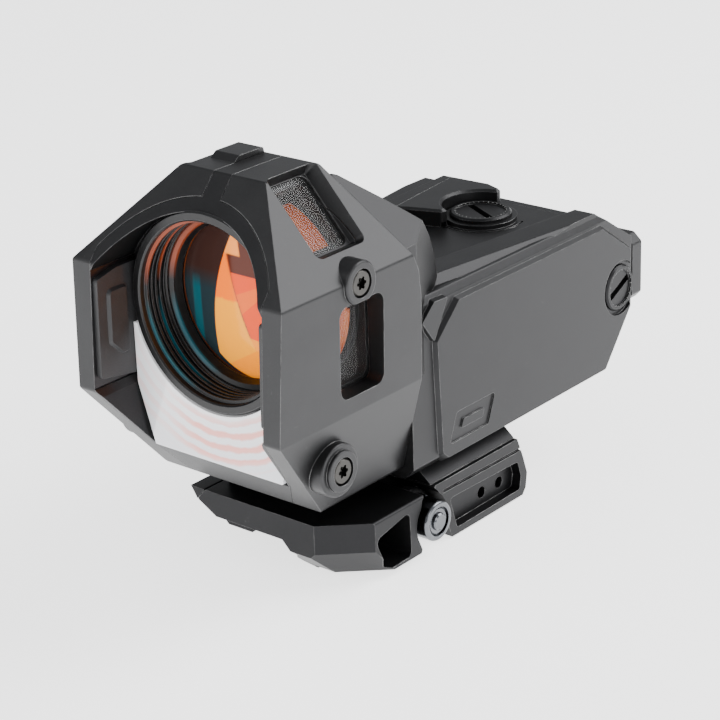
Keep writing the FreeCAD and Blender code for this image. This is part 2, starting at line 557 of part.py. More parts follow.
# ---------------------------------------------------------------- lens tube and lenses
A = AXIS_Z
prof = [(REAR_BORE, TUBE_END), (RING_R, TUBE_END), (RING_R, TUBE_END - 2.0), (TUBE_R, TUBE_END - 2.0),
        (TUBE_R, CORE_FACE + 1.5), (RING_R, CORE_FACE + 1.5), (RING_R, CORE_FACE + 1.0),
        (RING_R - 0.85, CORE_FACE + 1.0), (RING_R - 0.85, CORE_FACE + 0.2), (RING_R, CORE_FACE + 0.2),
        (RING_R, RING_FRONT + 0.4),
        (RING_R - 0.4, RING_FRONT), (RING_BORE + 0.3, RING_FRONT), (RING_BORE, RING_FRONT + 0.3)]
y = RING_FRONT + 1.4
pitch = (LENS_FRONT - 3.4 - y) / BAFFLES
for i in range(BAFFLES):
    prof += [(RING_BORE, y), (BAFFLE_R, y + 0.15), (BAFFLE_R, y + 0.45 * pitch),
             (RING_BORE, y + 0.45 * pitch + 0.15)]
    y += pitch
prof += [(RING_BORE - 0.55, LENS_FRONT - 3.4), (RING_BORE - 0.55, LENS_FRONT - 0.3),
         (LENS_R + FIT, LENS_FRONT - 0.3), (LENS_R + FIT, LENS_FRONT + LENS_THICK),
         (REAR_BORE, LENS_FRONT + LENS_THICK)]
tube = turned([(r, yy, A) for r, yy in prof], (0, 0, A), (0, 1, 0))
keep("lens_tube", tube)
keep("lens_retainer", turned([(r, yy, A) for r, yy in
                              [(RING_BORE - 0.6, LENS_FRONT - 3.2), (RING_BORE - 0.6, LENS_FRONT - 0.35),
                               (LENS_R - 0.9, LENS_FRONT - 0.35), (LENS_R - 1.3, LENS_FRONT - 1.2),
                               (LENS_R - 0.5, LENS_FRONT - 2.8), (RING_BORE - 0.9, LENS_FRONT - 3.2)]],
                             (0, 0, A), (0, 1, 0)))


def ball(y_rim, bulge):
    """Sphere through the lens rim at y_rim whose pole lies bulge behind it."""
    r = (LENS_R ** 2 + bulge ** 2) / (2.0 * abs(bulge))
    return Part.makeSphere(r, V(0, y_rim + bulge - math.copysign(r, bulge), A))


mid = LENS_FRONT + LENS_THICK * 0.5
blank = cyl((0, LENS_FRONT - LENS_SAG - 0.1, A), (0, 1, 0), LENS_R, LENS_THICK + LENS_SAG)
keep("objective_front", blank.common(ball(LENS_FRONT, -LENS_SAG)).common(ball(mid - 0.02, INNER_SAG)))
blank = cyl((0, mid, A), (0, 1, 0), LENS_R, LENS_THICK * 0.5 - FIT)
keep("objective_rear", blank.cut(ball(mid, INNER_SAG)))

# fibre wound round the tube, as a close-packed band of turns
TURN = 0.96
turns = int((TUBE_END - 2.1 - CORE_FACE - 1.6) / TURN)
start = CORE_FACE + 1.6
edges = []
for i in range(turns):
    a = V(TUBE_R + 1.0, start + i * TURN, A)
    b = V(TUBE_R + 1.0, start + (i + 1) * TURN, A)
    edges.append(Part.Arc(a, V(TUBE_R + 1.0 + TURN / 2.0, start + (i + 0.5) * TURN, A), b).toShape())
last = V(TUBE_R + 1.0, start + turns * TURN, A)
edges.append(Part.makeLine(last, V(TUBE_R + FIT, last.y, A)))
edges.append(Part.makeLine(V(TUBE_R + FIT, last.y, A), V(TUBE_R + FIT, start, A)))
edges.append(Part.makeLine(V(TUBE_R + FIT, start, A), V(TUBE_R + 1.0, start, A)))
keep("fibre_coil", Part.Face(Part.Wire(edges)).revolve(V(0, 0, A), V(0, 1, 0), 360))

# clear light collector under the ring
COLL_HALF, COLL_TOP, COLL_BOTTOM = 20.2, 42.0, BAR_Z + 0.3
coll = prism_y([(-COLL_HALF, COLL_TOP), (-COLL_HALF, 20.6), (-COLL_HALF + 2.8, COLL_BOTTOM),
                (COLL_HALF - 2.8, COLL_BOTTOM), (COLL_HALF, 20.6), (COLL_HALF, COLL_TOP)],
               RING_FRONT + 0.1, CORE_FACE - 0.02)
coll = coll.common(core_section(-1.3, -60, 0))
coll = coll.cut(cyl((0, -60, A), (0, 1, 0), RING_R + 0.3, 60))
keep("light_collector", coll)

# rear window and the frame that holds it
keep("rear_window", prism_y(rect(-14.6, 14.6, 45.6, 63.9), BORE_END + 1.45, BORE_END + 2.8, 2.4))
frame = prism_y(rect(-14.7, 14.7, 45.5, 64.0), BORE_END + 2.85, BORE_END + 4.9, 2.5)
frame = frame.cut(prism_y(REAR_WIN, -30, 0, 2.0))
keep("rear_window_frame", frame)

# ---------------------------------------------------------------- elevation: dial, plunger, carriage
def slotted_dial(r, h):
    """Coin-slot dial standing on z = 0 with its axis on Z."""
    d = Part.makeCylinder(r, h)
    d = d.makeChamfer(0.4, [e for e in d.Edges if abs(e.BoundBox.ZMin - h) < 1e-6])
    dish = Part.makeCylinder(r - 1.0, 0.5, V(0, 0, h - 0.45))
    slot = box(-SLOT_W / 2.0, SLOT_W / 2.0, -r + 1.2, r - 1.2, h - SLOT_D - 0.4, h + 1)
    return d.cut(dish.fuse(slot))


top_h = DIAL_TOP - DIAL_SEAT_Z - RUN
dial = slotted_dial(DIAL_R, top_h)
dial = dial.fuse(Part.makeCylinder(HUB_R, 2.9, V(0, 0, -2.9)))
dial = dial.cut(Part.makeCylinder(PLUNGER_R + RUN, 5.2, V(0, 0, -4.7)))
dial.rotate(V(0, 0, 0), V(0, 0, 1), 62)
dial.translate(V(0, DIAL_Y, DIAL_SEAT_Z + RUN))
keep("elevation_dial", dial)

seal = cyl((0, DIAL_Y, DIAL_SEAT_Z - SEAL_T), (0, 0, 1), SEAL_R1, SEAL_T)
keep("elevation_seal", seal.cut(cyl((0, DIAL_Y, DIAL_SEAT_Z - 2), (0, 0, 1), SEAL_R0, 4)))

carr = prism_x([(ARM_Y0, ARM_Z0), (ARM_Y0, CARR_Z1), (CARR_Y1, CARR_Z1), (CARR_Y1, CARR_Z0),
                (CARR_Y0, CARR_Z0), (CARR_Y0, ARM_Z0)], -CARR_HALF, CARR_HALF, 0.5)
carr = carr.cut(box(-40, -6.5, ARM_Y0 - 1, CARR_Y0, 20, 50))
carr = carr.cut(box(6.5, 40, ARM_Y0 - 1, CARR_Y0, 20, 50))
carr = carr.cut(box(-HOLD_HALF - HOLD_GAP, HOLD_HALF + HOLD_GAP, CARR_Y0 - 1, CARR_Y1 + 1,
                    CARR_Z0 + 3.0, ARM_Z0 - 0.2))
for m in (1, -1):
    carr = carr.cut(cyl((m * POST_X, POST_Y, 0), (0, 0, 1), POST_R + RUN, 60))
keep("elevation_carriage", carr)
plunger = cyl((0, DIAL_Y, CARR_Z1), (0, 0, 1), PLUNGER_R, 3.4)
keep("elevation_plunger", plunger)

hold_z0, hold_z1 = CARR_Z0 + 3.0 + RUN, ARM_Z0 - 0.2 - RUN
hold = box(-HOLD_HALF, HOLD_HALF, CARR_Y0 + 1.0, CARR_Y1 - 1.0, hold_z0, hold_z1)
hold = hold.fuse(box(0, HOLD_HALF, CARR_Y1 - 2.0, FINGER_Y1, SIDE_DIAL_Z - 1.8, SIDE_DIAL_Z + 2.0))
hold = hold.cut(cyl((0, CARR_Y0 - 5, SIDE_DIAL_Z - 1.0), (0, 1, 0), 3.0, CARR_Y1 - CARR_Y0 + 1.5))
keep("mark_holder", hold.removeSplitter())
keep("mark_lamp", cyl((0, CARR_Y0 + 3.0, SIDE_DIAL_Z - 1.0), (0, 1, 0), 2.98, 3.4))
disc = cyl((0, CARR_Y0 + 1.4, SIDE_DIAL_Z - 1.0), (0, 1, 0), 2.98, 1.0)
keep("mark_mask", disc.cut(cyl((0, CARR_Y0, SIDE_DIAL_Z - 1.0), (0, 1, 0), 0.35, 5)))

for m, name in ((1, "left"), (-1, "right")):
    keep("guide_post_" + name, cyl((m * POST_X, POST_Y, CAV_Z0 - 1.5), (0, 0, 1), POST_R,
                                   CAV_Z1 - CAV_Z0 + 2.4))
    spring = wave_spring(POST_R + 0.15, POST_R + 1.35, 0.3, 0.8, CARR_Z0 - CAV_Z0 - 1.06,
                         (m * POST_X, POST_Y, CAV_Z0 + 1.03))
    keep("carriage_spring_" + name, spring)

# ---------------------------------------------------------------- windage: dial and plunger
side_h = PANEL_HALF - SIDE_DIAL_SEAT - RUN
dial = slotted_dial(SIDE_DIAL_R, side_h)
dial = dial.fuse(Part.makeCylinder(HUB_R, 6.0, V(0, 0, -6.0)))
dial = dial.cut(Part.makeCylinder(PLUNGER_R + RUN, 6.5, V(0, 0, -6.1)))
dial.rotate(V(0, 0, 0), V(0, 0, 1), 25)
dial.rotate(V(0, 0, 0), V(0, 1, 0), 90)
dial.translate(V(SIDE_DIAL_SEAT + RUN, SIDE_DIAL_Y, SIDE_DIAL_Z))
keep("windage_dial", dial)
seal = cyl((SIDE_DIAL_SEAT - SEAL_T, SIDE_DIAL_Y, SIDE_DIAL_Z), (1, 0, 0), SEAL_R1, SEAL_T)
keep("windage_seal", seal.cut(cyl((10, SIDE_DIAL_Y, SIDE_DIAL_Z), (1, 0, 0), SEAL_R0, 20)))
keep("windage_plunger", cyl((HOLD_HALF + 0.02, SIDE_DIAL_Y, SIDE_DIAL_Z), (1, 0, 0), PLUNGER_R,
                            SIDE_DIAL_SEAT - 1.5 - HOLD_HALF))

# ---------------------------------------------------------------- rear cover
cover_out = prism_y(both([(BODY_HALF - 2.0, tail_top(BODY_END, 0.4)), (BODY_HALF, tail_top(BODY_END, 2.2)),
                          (BODY_HALF, tail_foot(BODY_END, 2.2)),
                          (BODY_HALF - 1.6, tail_foot(BODY_END, 0.5))]), BODY_END + GASKET_T,
                    BODY_END + COVER_T, 0.9)
gasket = prism_y(both([(BODY_HALF - 2.4, tail_top(BODY_END, 0.8)),
                       (BODY_HALF - 0.4, tail_top(BODY_END, 2.6)),
                       (BODY_HALF - 0.4, tail_foot(BODY_END, 2.6)),
                       (BODY_HALF - 2.0, tail_foot(BODY_END, 0.9))]), BODY_END, BODY_END + GASKET_T, 0.7)
for x, z in COVER_SCREWS:
    cover_out = cover_out.cut(cyl((x, BODY_END, z), (0, 1, 0), 1.1, 10))
    cover_out = cover_out.cut(cyl((x, BODY_END + COVER_T - 1.4, z), (0, 1, 0), 2.0, 10))
    gasket = gasket.cut(cyl((x, BODY_END - 1, z), (0, 1, 0), 1.2, 10))
keep("rear_cover", cover_out)
keep("rear_gasket", gasket.cut(box(-CAV_HALF + 1, CAV_HALF - 1, BODY_END - 1, BODY_END + 2,
                                   BACK_Z0 + 0.6, CAV_Z1 - 7.0)))
for i, (x, z) in enumerate(COVER_SCREWS):
    s = cyl((x, BODY_END + COVER_T - 0.1, z), (0, -1, 0), 1.9, 1.25)
    s = s.fuse(cyl((x, BODY_END + COVER_T - 1.3, z), (0, -1, 0), 1.0, 4.4))
    s = s.cut(star_drive((x, BODY_END + COVER_T - 0.1, z), (0, -1, 0), 1.0, 0.8))
    keep("cover_screw_%d" % (i + 1), s.removeSplitter())

# ---------------------------------------------------------------- rail clamp: base
RAKE = [(BASE_FRONT - 1, -2.0), (BASE_FRONT, -2.0), (BASE_FRONT + 7.0, BASE_BOTTOM),
        (BASE_FRONT + 7.0, BASE_BOTTOM - 1), (BASE_FRONT - 1, BASE_BOTTOM - 1)]
LIP_Z = -RAIL_WAIST - 2.3
near = prism_y([(-FAR_HALF, BASE_TOP), (WING_HALF, BASE_TOP), (WING_HALF, BASE_BOTTOM),
                (RAIL_HALF - 0.3, BASE_BOTTOM), (RAIL_HALF - 2.1, LIP_Z - 1.2),
                (RAIL_HALF - 2.1, LIP_Z), (RAIL_HALF + 0.1, -RAIL_WAIST - 0.1), (SEAT_HALF, 0),
                (-FAR_HALF + 2.5, 0), (-FAR_HALF - 2.3, BASE_TOP - 2.5)],
               BASE_FRONT, BASE_REAR, [0.2, 0.6, 0.8, 0.5, 0.3, 0.2, 0.2, 0.2, 0.2, 0.3])
plan = prism_z([(-30, BASE_FRONT), (WING_HALF, BASE_FRONT), (WING_HALF, BOLT_Y),
                (WING_HALF - 1.0, BOLT_Y + 2), (WING_HALF - 1.0, BASE_REAR), (-30, BASE_REAR)],
               BASE_BOTTOM - 1, BASE_TOP + 10)
FLARE, FLARE_LEAN, FLARE_Z = 0.892, 6.7, -1.0
flare_y = BASE_FRONT - (NEAR_HALF + 4.0) * FLARE
flare = prism([(-4.0, flare_y, BASE_TOP + 5), (-4.0, flare_y, FLARE_Z),
               (-4.0, flare_y + FLARE_LEAN, BASE_BOTTOM), (-4.0, flare_y + FLARE_LEAN, BASE_BOTTOM - 5),
               (-4.0, flare_y - 50, BASE_BOTTOM - 5), (-4.0, flare_y - 50, BASE_TOP + 5)],
              (1.0, FLARE, 0.0), WING_HALF + 14.0)
heel = prism_x([(BASE_FRONT - 1, 20), (BASE_FRONT - 1, BASE_BOTTOM - 1), (BASE_REAR - 1.9, BASE_BOTTOM - 1),
                (BASE_REAR - 1.6, BASE_BOTTOM), (BASE_REAR - 0.5, BASE_BOTTOM + 1.4),
                (BASE_REAR, BASE_BOTTOM + 4.6), (BASE_REAR - 1.4, 0.5), (BASE_REAR - 3.4, BASE_TOP),
                (BASE_REAR - 3.4, 20)], -40, 40)
riser = prism_y([(-FAR_HALF + 0.6, BASE_TOP - 0.5), (-FAR_HALF + 0.6, BODY_FLOOR_Z - 0.02),
                 (BODY_HALF - 3.0, BODY_FLOOR_Z - 0.02), (WING_HALF - 2.0, BASE_TOP + 0.2),
                 (WING_HALF - 2.0, BASE_TOP - 0.5)], HOOD_BACK + 5.2, BASE_REAR, 0)
stand = box(-FAR_HALF + 0.6, FAR_HALF - 0.1, -25.0, HOOD_BACK, BASE_TOP - 0.5, BELLY_Z - 0.02)
bridge = box(-FAR_HALF + 0.6, FAR_HALF - 0.1, HOOD_BACK - 0.5, HOOD_BACK + 5.7, BASE_TOP - 0.5,
             BODY_FLOOR_Z - 0.02)
base = near.common(plan).fuse([riser, stand, bridge]).common(heel).cut(prism_x(RAKE, 0, 40)).cut(flare)
base = base.cut(box(RAIL_HALF + 0.2, 40, BASE_FRONT - 1, BOLT_Y, BASE_BOTTOM - 1, WING_BOTTOM))
BAY = [(BOLT_Y - 3.5, BASE_TOP - 0.8), (BOLT_Y - 4.7, 0), (BOLT_Y - 5.0, -3.5), (BOLT_Y - 3.7, -6.3),
       (BOLT_Y - 5.4, BASE_BOTTOM - 1), (BOLT_Y + 7.6, BASE_BOTTOM - 1), (BOLT_Y + 6.6, -6.6),
       (BOLT_Y + 5.3, -3.0), (BOLT_Y + 4.6, 0), (BOLT_Y + 2.8, 3.8), (BOLT_Y + 0.8, BASE_TOP + 0.4),
       (BOLT_Y - 2.0, BASE_TOP + 1)]
base = base.cut(prism_x(BAY, 13.0, 40, [1, 1, 0.8, 0.5, 0, 0, 1, 1, 2, 1, 0, 0]))
boss = cyl((12.0, BOLT_Y, BOLT_Z), (1, 0, 0), 4.4, 5.6)
base = base.fuse(boss)
base = base.cut(cyl((17.6, BOLT_Y, BOLT_Z), (1, 0, 0), COLLAR_R + 0.25, 20))
base = base.cut(box(-FAR_HALF + 2.0, SEAT_HALF + 0.6, BOLT_Y - BOLT_R - 0.5, BOLT_Y + BOLT_R + 0.5,
                    -0.5, 1.0))
base = base.cut(tapered([(BASE_FRONT + 7.8, 1.4), (BASE_FRONT + 18.6, 3.6), (BASE_FRONT + 19.0, -6.3),
                         (BASE_FRONT + 11.4, -6.5)], WING_HALF + 0.5, WING_HALF - 8.5, 1.6, 1.4))
foot = prism_x([(3.9, -6.7), (25.4, -6.5), (25.9, -3.6), (24.8, 0.0), (1.6, 0.6)],
               WING_HALF - 3.2, WING_HALF + 2, 0.8)
line = prism_x([(-0.5, 2.6), (BASE_REAR - 2, 2.2), (BASE_REAR - 2, 2.9), (-0.5, 3.3)],
               WING_HALF - 1.5, WING_HALF + 2)
base = base.cut(foot).cut(line)
for i in range(2):
    base = base.cut(cyl((WING_HALF - 9.2, HOLE_Y0 + i * HOLE_PITCH, HOLE_Z), (1, 0, 0), HOLE_R, 8))
base = base.cut(cyl((-FAR_HALF - 8, BOLT_Y, BOLT_Z), (1, 0, 0), BOLT_R + 0.05, 60))
LUG_Y = BOLT_Y - 2 * GROOVE_PITCH
lug = box(-SEAT_HALF + 0.6, SEAT_HALF - 0.6, LUG_Y - LUG_W / 2.0, LUG_Y + LUG_W / 2.0, -2.6, 2.0)
base = base.cut(lug)
keep("recoil_lug", lug.makeChamfer(0.3, [e for e in lug.Edges if e.BoundBox.ZMax < -2.5]))
for x, y in BASE_SCREWS:
    base = base.cut(cyl((x, y, -1), (0, 0, 1), BASE_SCREW_R + 0.15, 20))
    base = base.cut(cyl((x, y, -1), (0, 0, 1), 3.2, 4.0))
for y in GUIDE_Y:
    base = base.cut(cyl((-30, y, GUIDE_Z), (1, 0, 0), GUIDE_R, 26))
keep("mount_base", base.removeSplitter())

for i, (x, y) in enumerate(BASE_SCREWS):
    top = (CAV_Z0 - 0.8 if y > 0 else BELLY_Z + 6.5) - 0.2
    s = cyl((x, y, 0.2), (0, 0, 1), 3.0, 2.75)
    s = s.fuse(cyl((x, y, 2.9), (0, 0, 1), BASE_SCREW_R, top - 2.9))
    s = s.cut(star_drive((x, y, 0.2), (0, 0, 1), 1.6, 1.5))
    keep("base_screw_%d" % (i + 1), s.removeSplitter())

# ---------------------------------------------------------------- rail clamp: jaw, bolt, nut, lever
jaw = prism_y([(-FAR_HALF - 0.14, BASE_TOP), (-JAW_OUT + 1.6, BASE_TOP), (-JAW_OUT, BASE_TOP - 1.6),
               (-JAW_OUT, BASE_BOTTOM + 1.5), (-JAW_OUT + 1.5, BASE_BOTTOM),
               (-RAIL_HALF + 0.3, BASE_BOTTOM), (-RAIL_HALF + 2.1, LIP_Z - 1.2), (-RAIL_HALF + 2.1, LIP_Z),
               (-RAIL_HALF - 0.1, -RAIL_WAIST - 0.1), (-RAIL_HALF - 0.1, 0.5),
               (-FAR_HALF - 2.46, BASE_TOP - 2.53)], JAW_Y0, JAW_Y1,
              [0.2, 0.5, 0.5, 0.5, 0.5, 0.5, 0.3, 0.2, 0.2, 0.2, 0.2])
tip = prism_y([(-FAR_HALF - 0.14, BASE_TOP), (-JAW_OUT + 2.3, BASE_TOP), (-FAR_HALF - 2.4, BASE_TOP - 2.5)],
              JAW_Y0 - 2, JAW_STEP_Y + 1)
jaw = jaw.cut(box(-40, 0, JAW_Y0 - 1, JAW_STEP_Y, -20, 20).cut(tip))
jaw = jaw.cut(cyl((-30, BOLT_Y, BOLT_Z), (1, 0, 0), BOLT_R + 0.07, 30))
for i, y in enumerate(GUIDE_Y):
    jaw = jaw.cut(cyl((-30, y, GUIDE_Z), (1, 0, 0), GUIDE_R + RUN, 30))
    keep("jaw_guide_%d" % (i + 1), cyl((-JAW_OUT + 0.2, y, GUIDE_Z), (1, 0, 0), GUIDE_R, JAW_OUT - 4.3))
keep("clamp_jaw", jaw.removeSplitter())

bolt = cyl((PIN_X + 1.0, BOLT_Y, BOLT_Z), (1, 0, 0), BOLT_R, NUT_FACE - PIN_X - 0.6)
eye = cyl((PIN_X, BOLT_Y, BOLT_Z - EYE_T / 2.0), (0, 0, 1), EYE_R, EYE_T)
bolt = bolt.fuse(eye).cut(cyl((PIN_X, BOLT_Y, -20), (0, 0, 1), PIN_R, 40))
bolt = bolt.makeChamfer(0.3, [e for e in bolt.Edges if e.isClosed() and
                              abs(e.BoundBox.Center.x - NUT_FACE - 0.4) < 1e-3])
keep("cross_bolt", bolt.removeSplitter())
pin = cyl((PIN_X, BOLT_Y, LEVER_Z0 + 0.3), (0, 0, 1), PIN_R, LEVER_Z1 - LEVER_Z0 - 0.6)
keep("lever_pin", pin)

collar = cyl((17.7, BOLT_Y, BOLT_Z), (1, 0, 0), COLLAR_R, 2.3)
collar = collar.makeFillet(0.7, [e for e in collar.Edges if e.BoundBox.Center.x > 19.9])
keep("nut_collar", collar.cut(cyl((10, BOLT_Y, BOLT_Z), (1, 0, 0), BOLT_R + RUN, 20)))
nut = cyl((20.05, BOLT_Y, BOLT_Z), (1, 0, 0), NUT_R, NUT_FACE - 20.05)
nut = nut.makeFillet(0.6, [e for e in nut.Edges if e.BoundBox.Center.x > NUT_FACE - 0.01])
nut = nut.cut(cyl((NUT_FACE - 1.0, BOLT_Y, BOLT_Z), (1, 0, 0), NUT_R - 1.1, 3))
nut = nut.fuse(cyl((NUT_FACE - 1.2, BOLT_Y, BOLT_Z), (1, 0, 0), NUT_R - 1.6, 0.9))
waist = cyl((21.6, BOLT_Y, BOLT_Z), (1, 0, 0), NUT_R + 1, 0.8)
waist = waist.cut(cyl((21, BOLT_Y, BOLT_Z), (1, 0, 0), NUT_R - 0.5, 3))
nut = nut.cut(waist).cut(cyl((10, BOLT_Y, BOLT_Z), (1, 0, 0), BOLT_R + RUN, 30))
keep("tension_nut", nut.removeSplitter())

# The cam is an involute: its reach towards the jaw falls evenly as the lever opens.
CAM_RATE = JAW_TRAVEL / math.radians(LEVER_SWING)
cam_points = []
for i in range(37):
    t = math.radians(-LEVER_SWING - 15.0 + i * (LEVER_SWING + 30.0) / 36.0)
    h = CAM_R + CAM_RATE * t
    cam_points.append((PIN_X + h * math.cos(t) - CAM_RATE * math.sin(t),
                       BOLT_Y + h * math.sin(t) + CAM_RATE * math.cos(t)))
spline = Part.BSplineCurve()
spline.interpolate([V(x, y, LEVER_Z0) for x, y in cam_points])
chord = Part.makeLine(V(cam_points[-1][0], cam_points[-1][1], LEVER_Z0),
                      V(cam_points[0][0], cam_points[0][1], LEVER_Z0))
cam = Part.Face(Part.Wire([spline.toShape(), chord])).extrude(V(0, 0, LEVER_Z1 - LEVER_Z0))
hub = cyl((PIN_X, BOLT_Y, LEVER_Z0), (0, 0, 1), HUB_MIN, LEVER_Z1 - LEVER_Z0)
arm = [(-3.0, -1.0), (-3.2, 8.0), (-4.4, 22.0), (-5.0, LEVER_LEN - 3.0), (-3.6, LEVER_LEN),
       (-1.4, LEVER_LEN - 0.6), (-0.6, 22.0), (1.4, 9.0), (4.6, 2.6), (3.0, -1.0)]
arm = prism_z([(PIN_X + x, BOLT_Y + y) for x, y in arm], LEVER_Z0, LEVER_Z1,
              [0, 4, 8, 1.5, 1.2, 1.0, 6, 4, 1.0, 0])
thin = prism_x([(BOLT_Y + 6.5, LEVER_Z0 - 1), (BOLT_Y + 9.5, LEVER_Z0 + 1.2), (BOLT_Y + LEVER_LEN + 2,
               LEVER_Z0 + 1.6), (BOLT_Y + LEVER_LEN + 2, LEVER_Z0 - 1)], -60, 0)
thin_top = prism_x([(BOLT_Y + 6.5, LEVER_Z1 + 1), (BOLT_Y + 9.5, LEVER_Z1 - 1.2),
                    (BOLT_Y + LEVER_LEN + 2, LEVER_Z1 - 1.6), (BOLT_Y + LEVER_LEN + 2, LEVER_Z1 + 1)],
                   -60, 0)
lever = cam.fuse([hub, arm]).cut(thin.fuse(thin_top))
slot_z0, slot_z1 = BOLT_Z - EYE_T / 2.0 - 0.1, BOLT_Z + EYE_T / 2.0 + 0.1
slot = cyl((PIN_X, BOLT_Y, slot_z0), (0, 0, 1), EYE_R + 0.3, slot_z1 - slot_z0)
sweep = cyl((PIN_X, BOLT_Y, slot_z0), (0, 0, 1), CAM_R + 2.5, slot_z1 - slot_z0)
sweep = sweep.cut(box(PIN_X - 12, PIN_X + 12, BOLT_Y + 2.1, BOLT_Y + 20, -20, 20))
lever = lever.cut(slot.fuse(sweep))
lever = lever.cut(cyl((PIN_X, BOLT_Y, -20), (0, 0, 1), PIN_R + RUN, 40))
keep("throw_lever", lever.removeSplitter())

# seal round the lens tube
keep("tube_seal", ring_y(RING_R - 0.85, RING_R + FIT, CORE_FACE + 0.2, CORE_FACE + 1.0))

for n, s in NODES.items():
    s.exportStep("parts/" + n + ".step")
    bb = s.BoundBox
    print("%-22s solids %d valid %s vol %9.1f  x %6.1f %6.1f y %6.1f %6.1f z %6.1f %6.1f" % (
        n, len(s.Solids), s.isValid(), s.Volume, bb.XMin, bb.XMax, bb.YMin, bb.YMax, bb.ZMin, bb.ZMax))
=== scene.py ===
"""Finishes, optics, small parts and stage for an armoured reflex sight on a lever-locked rail clamp."""
import json
import math

import bmesh
import bpy
import numpy as np
from bpy.props import FloatProperty, FloatVectorProperty, IntProperty, PointerProperty
from mathutils import Matrix, Vector


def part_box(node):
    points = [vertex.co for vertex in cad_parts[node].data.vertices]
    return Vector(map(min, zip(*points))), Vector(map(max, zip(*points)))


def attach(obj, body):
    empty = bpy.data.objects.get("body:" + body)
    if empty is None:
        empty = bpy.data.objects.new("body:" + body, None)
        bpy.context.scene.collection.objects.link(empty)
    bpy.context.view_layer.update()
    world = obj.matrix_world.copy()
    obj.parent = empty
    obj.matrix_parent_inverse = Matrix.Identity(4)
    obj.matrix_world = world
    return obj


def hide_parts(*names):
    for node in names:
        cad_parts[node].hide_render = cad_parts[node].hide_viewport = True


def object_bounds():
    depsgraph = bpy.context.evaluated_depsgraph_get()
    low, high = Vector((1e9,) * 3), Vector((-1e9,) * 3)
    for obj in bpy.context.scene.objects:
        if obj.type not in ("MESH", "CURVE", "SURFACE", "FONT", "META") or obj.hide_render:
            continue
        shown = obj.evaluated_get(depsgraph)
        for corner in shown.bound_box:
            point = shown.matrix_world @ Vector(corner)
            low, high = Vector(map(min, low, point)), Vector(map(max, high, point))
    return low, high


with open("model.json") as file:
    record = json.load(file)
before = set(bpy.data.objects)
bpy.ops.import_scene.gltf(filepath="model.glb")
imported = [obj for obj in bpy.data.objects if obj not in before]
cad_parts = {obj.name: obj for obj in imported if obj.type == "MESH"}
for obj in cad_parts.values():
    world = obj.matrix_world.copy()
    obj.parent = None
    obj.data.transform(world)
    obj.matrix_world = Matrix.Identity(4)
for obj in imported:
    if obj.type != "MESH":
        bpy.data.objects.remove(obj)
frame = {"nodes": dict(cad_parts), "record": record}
CAD_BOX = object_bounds()

bl_info = {
    "name": "Reflex sight finishes",
    "version": (1, 0, 0),
    "blender": (4, 5, 0),
    "location": "View3D > Sidebar > Sight",
    "description": "Dresses the packed reflex sight: coatings, glass, fibre winding, grips and stage",
    "category": "Object",
}

MM = 0.001
SLOT_OF = {s["node"]: s["material_slot"] for s in frame["record"]["subparts"]}


# ---------------------------------------------------------------- places read from the CAD
def middle(node):
    """Middle of a CAD node's box."""
    lo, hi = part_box(node)
    return (lo + hi) / 2.0


BORE = middle("lens_tube")
LENS_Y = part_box("objective_front")[0].y


# ---------------------------------------------------------------- shader arithmetic
class Reading:
    """A number that changes over a surface. Arithmetic on it adds Math nodes."""

    def __init__(self, finish, socket):
        self.finish = finish
        self.socket = socket

    def _with(self, operation, *others):
        return self.finish.maths(operation, self, *others)

    def __add__(self, other):
        return self._with("ADD", other)

    __radd__ = __add__

    def __mul__(self, other):
        return self._with("MULTIPLY", other)

    __rmul__ = __mul__

    def __sub__(self, other):
        return self._with("SUBTRACT", other)

    def __rsub__(self, other):
        return self.finish.maths("SUBTRACT", other, self)

    def __truediv__(self, other):
        return self._with("DIVIDE", other)

    def limited(self):
        """Held between 0 and 1."""
        return self.finish.maths("ADD", self, 0.0, clamp=True)

    def past(self, edge, soft):
        """0 before edge, 1 after it, with a ramp of width soft between."""
        return ((self - edge) / soft + 0.5).limited()

    def upto(self, edge, soft):
        return 1.0 - self.past(edge, soft)

    def band(self, low, high, soft):
        return self.past(low, soft) * self.upto(high, soft)

    def wave(self):
        return self._with("SINE")

    def power(self, exponent):
        return self._with("POWER", exponent)


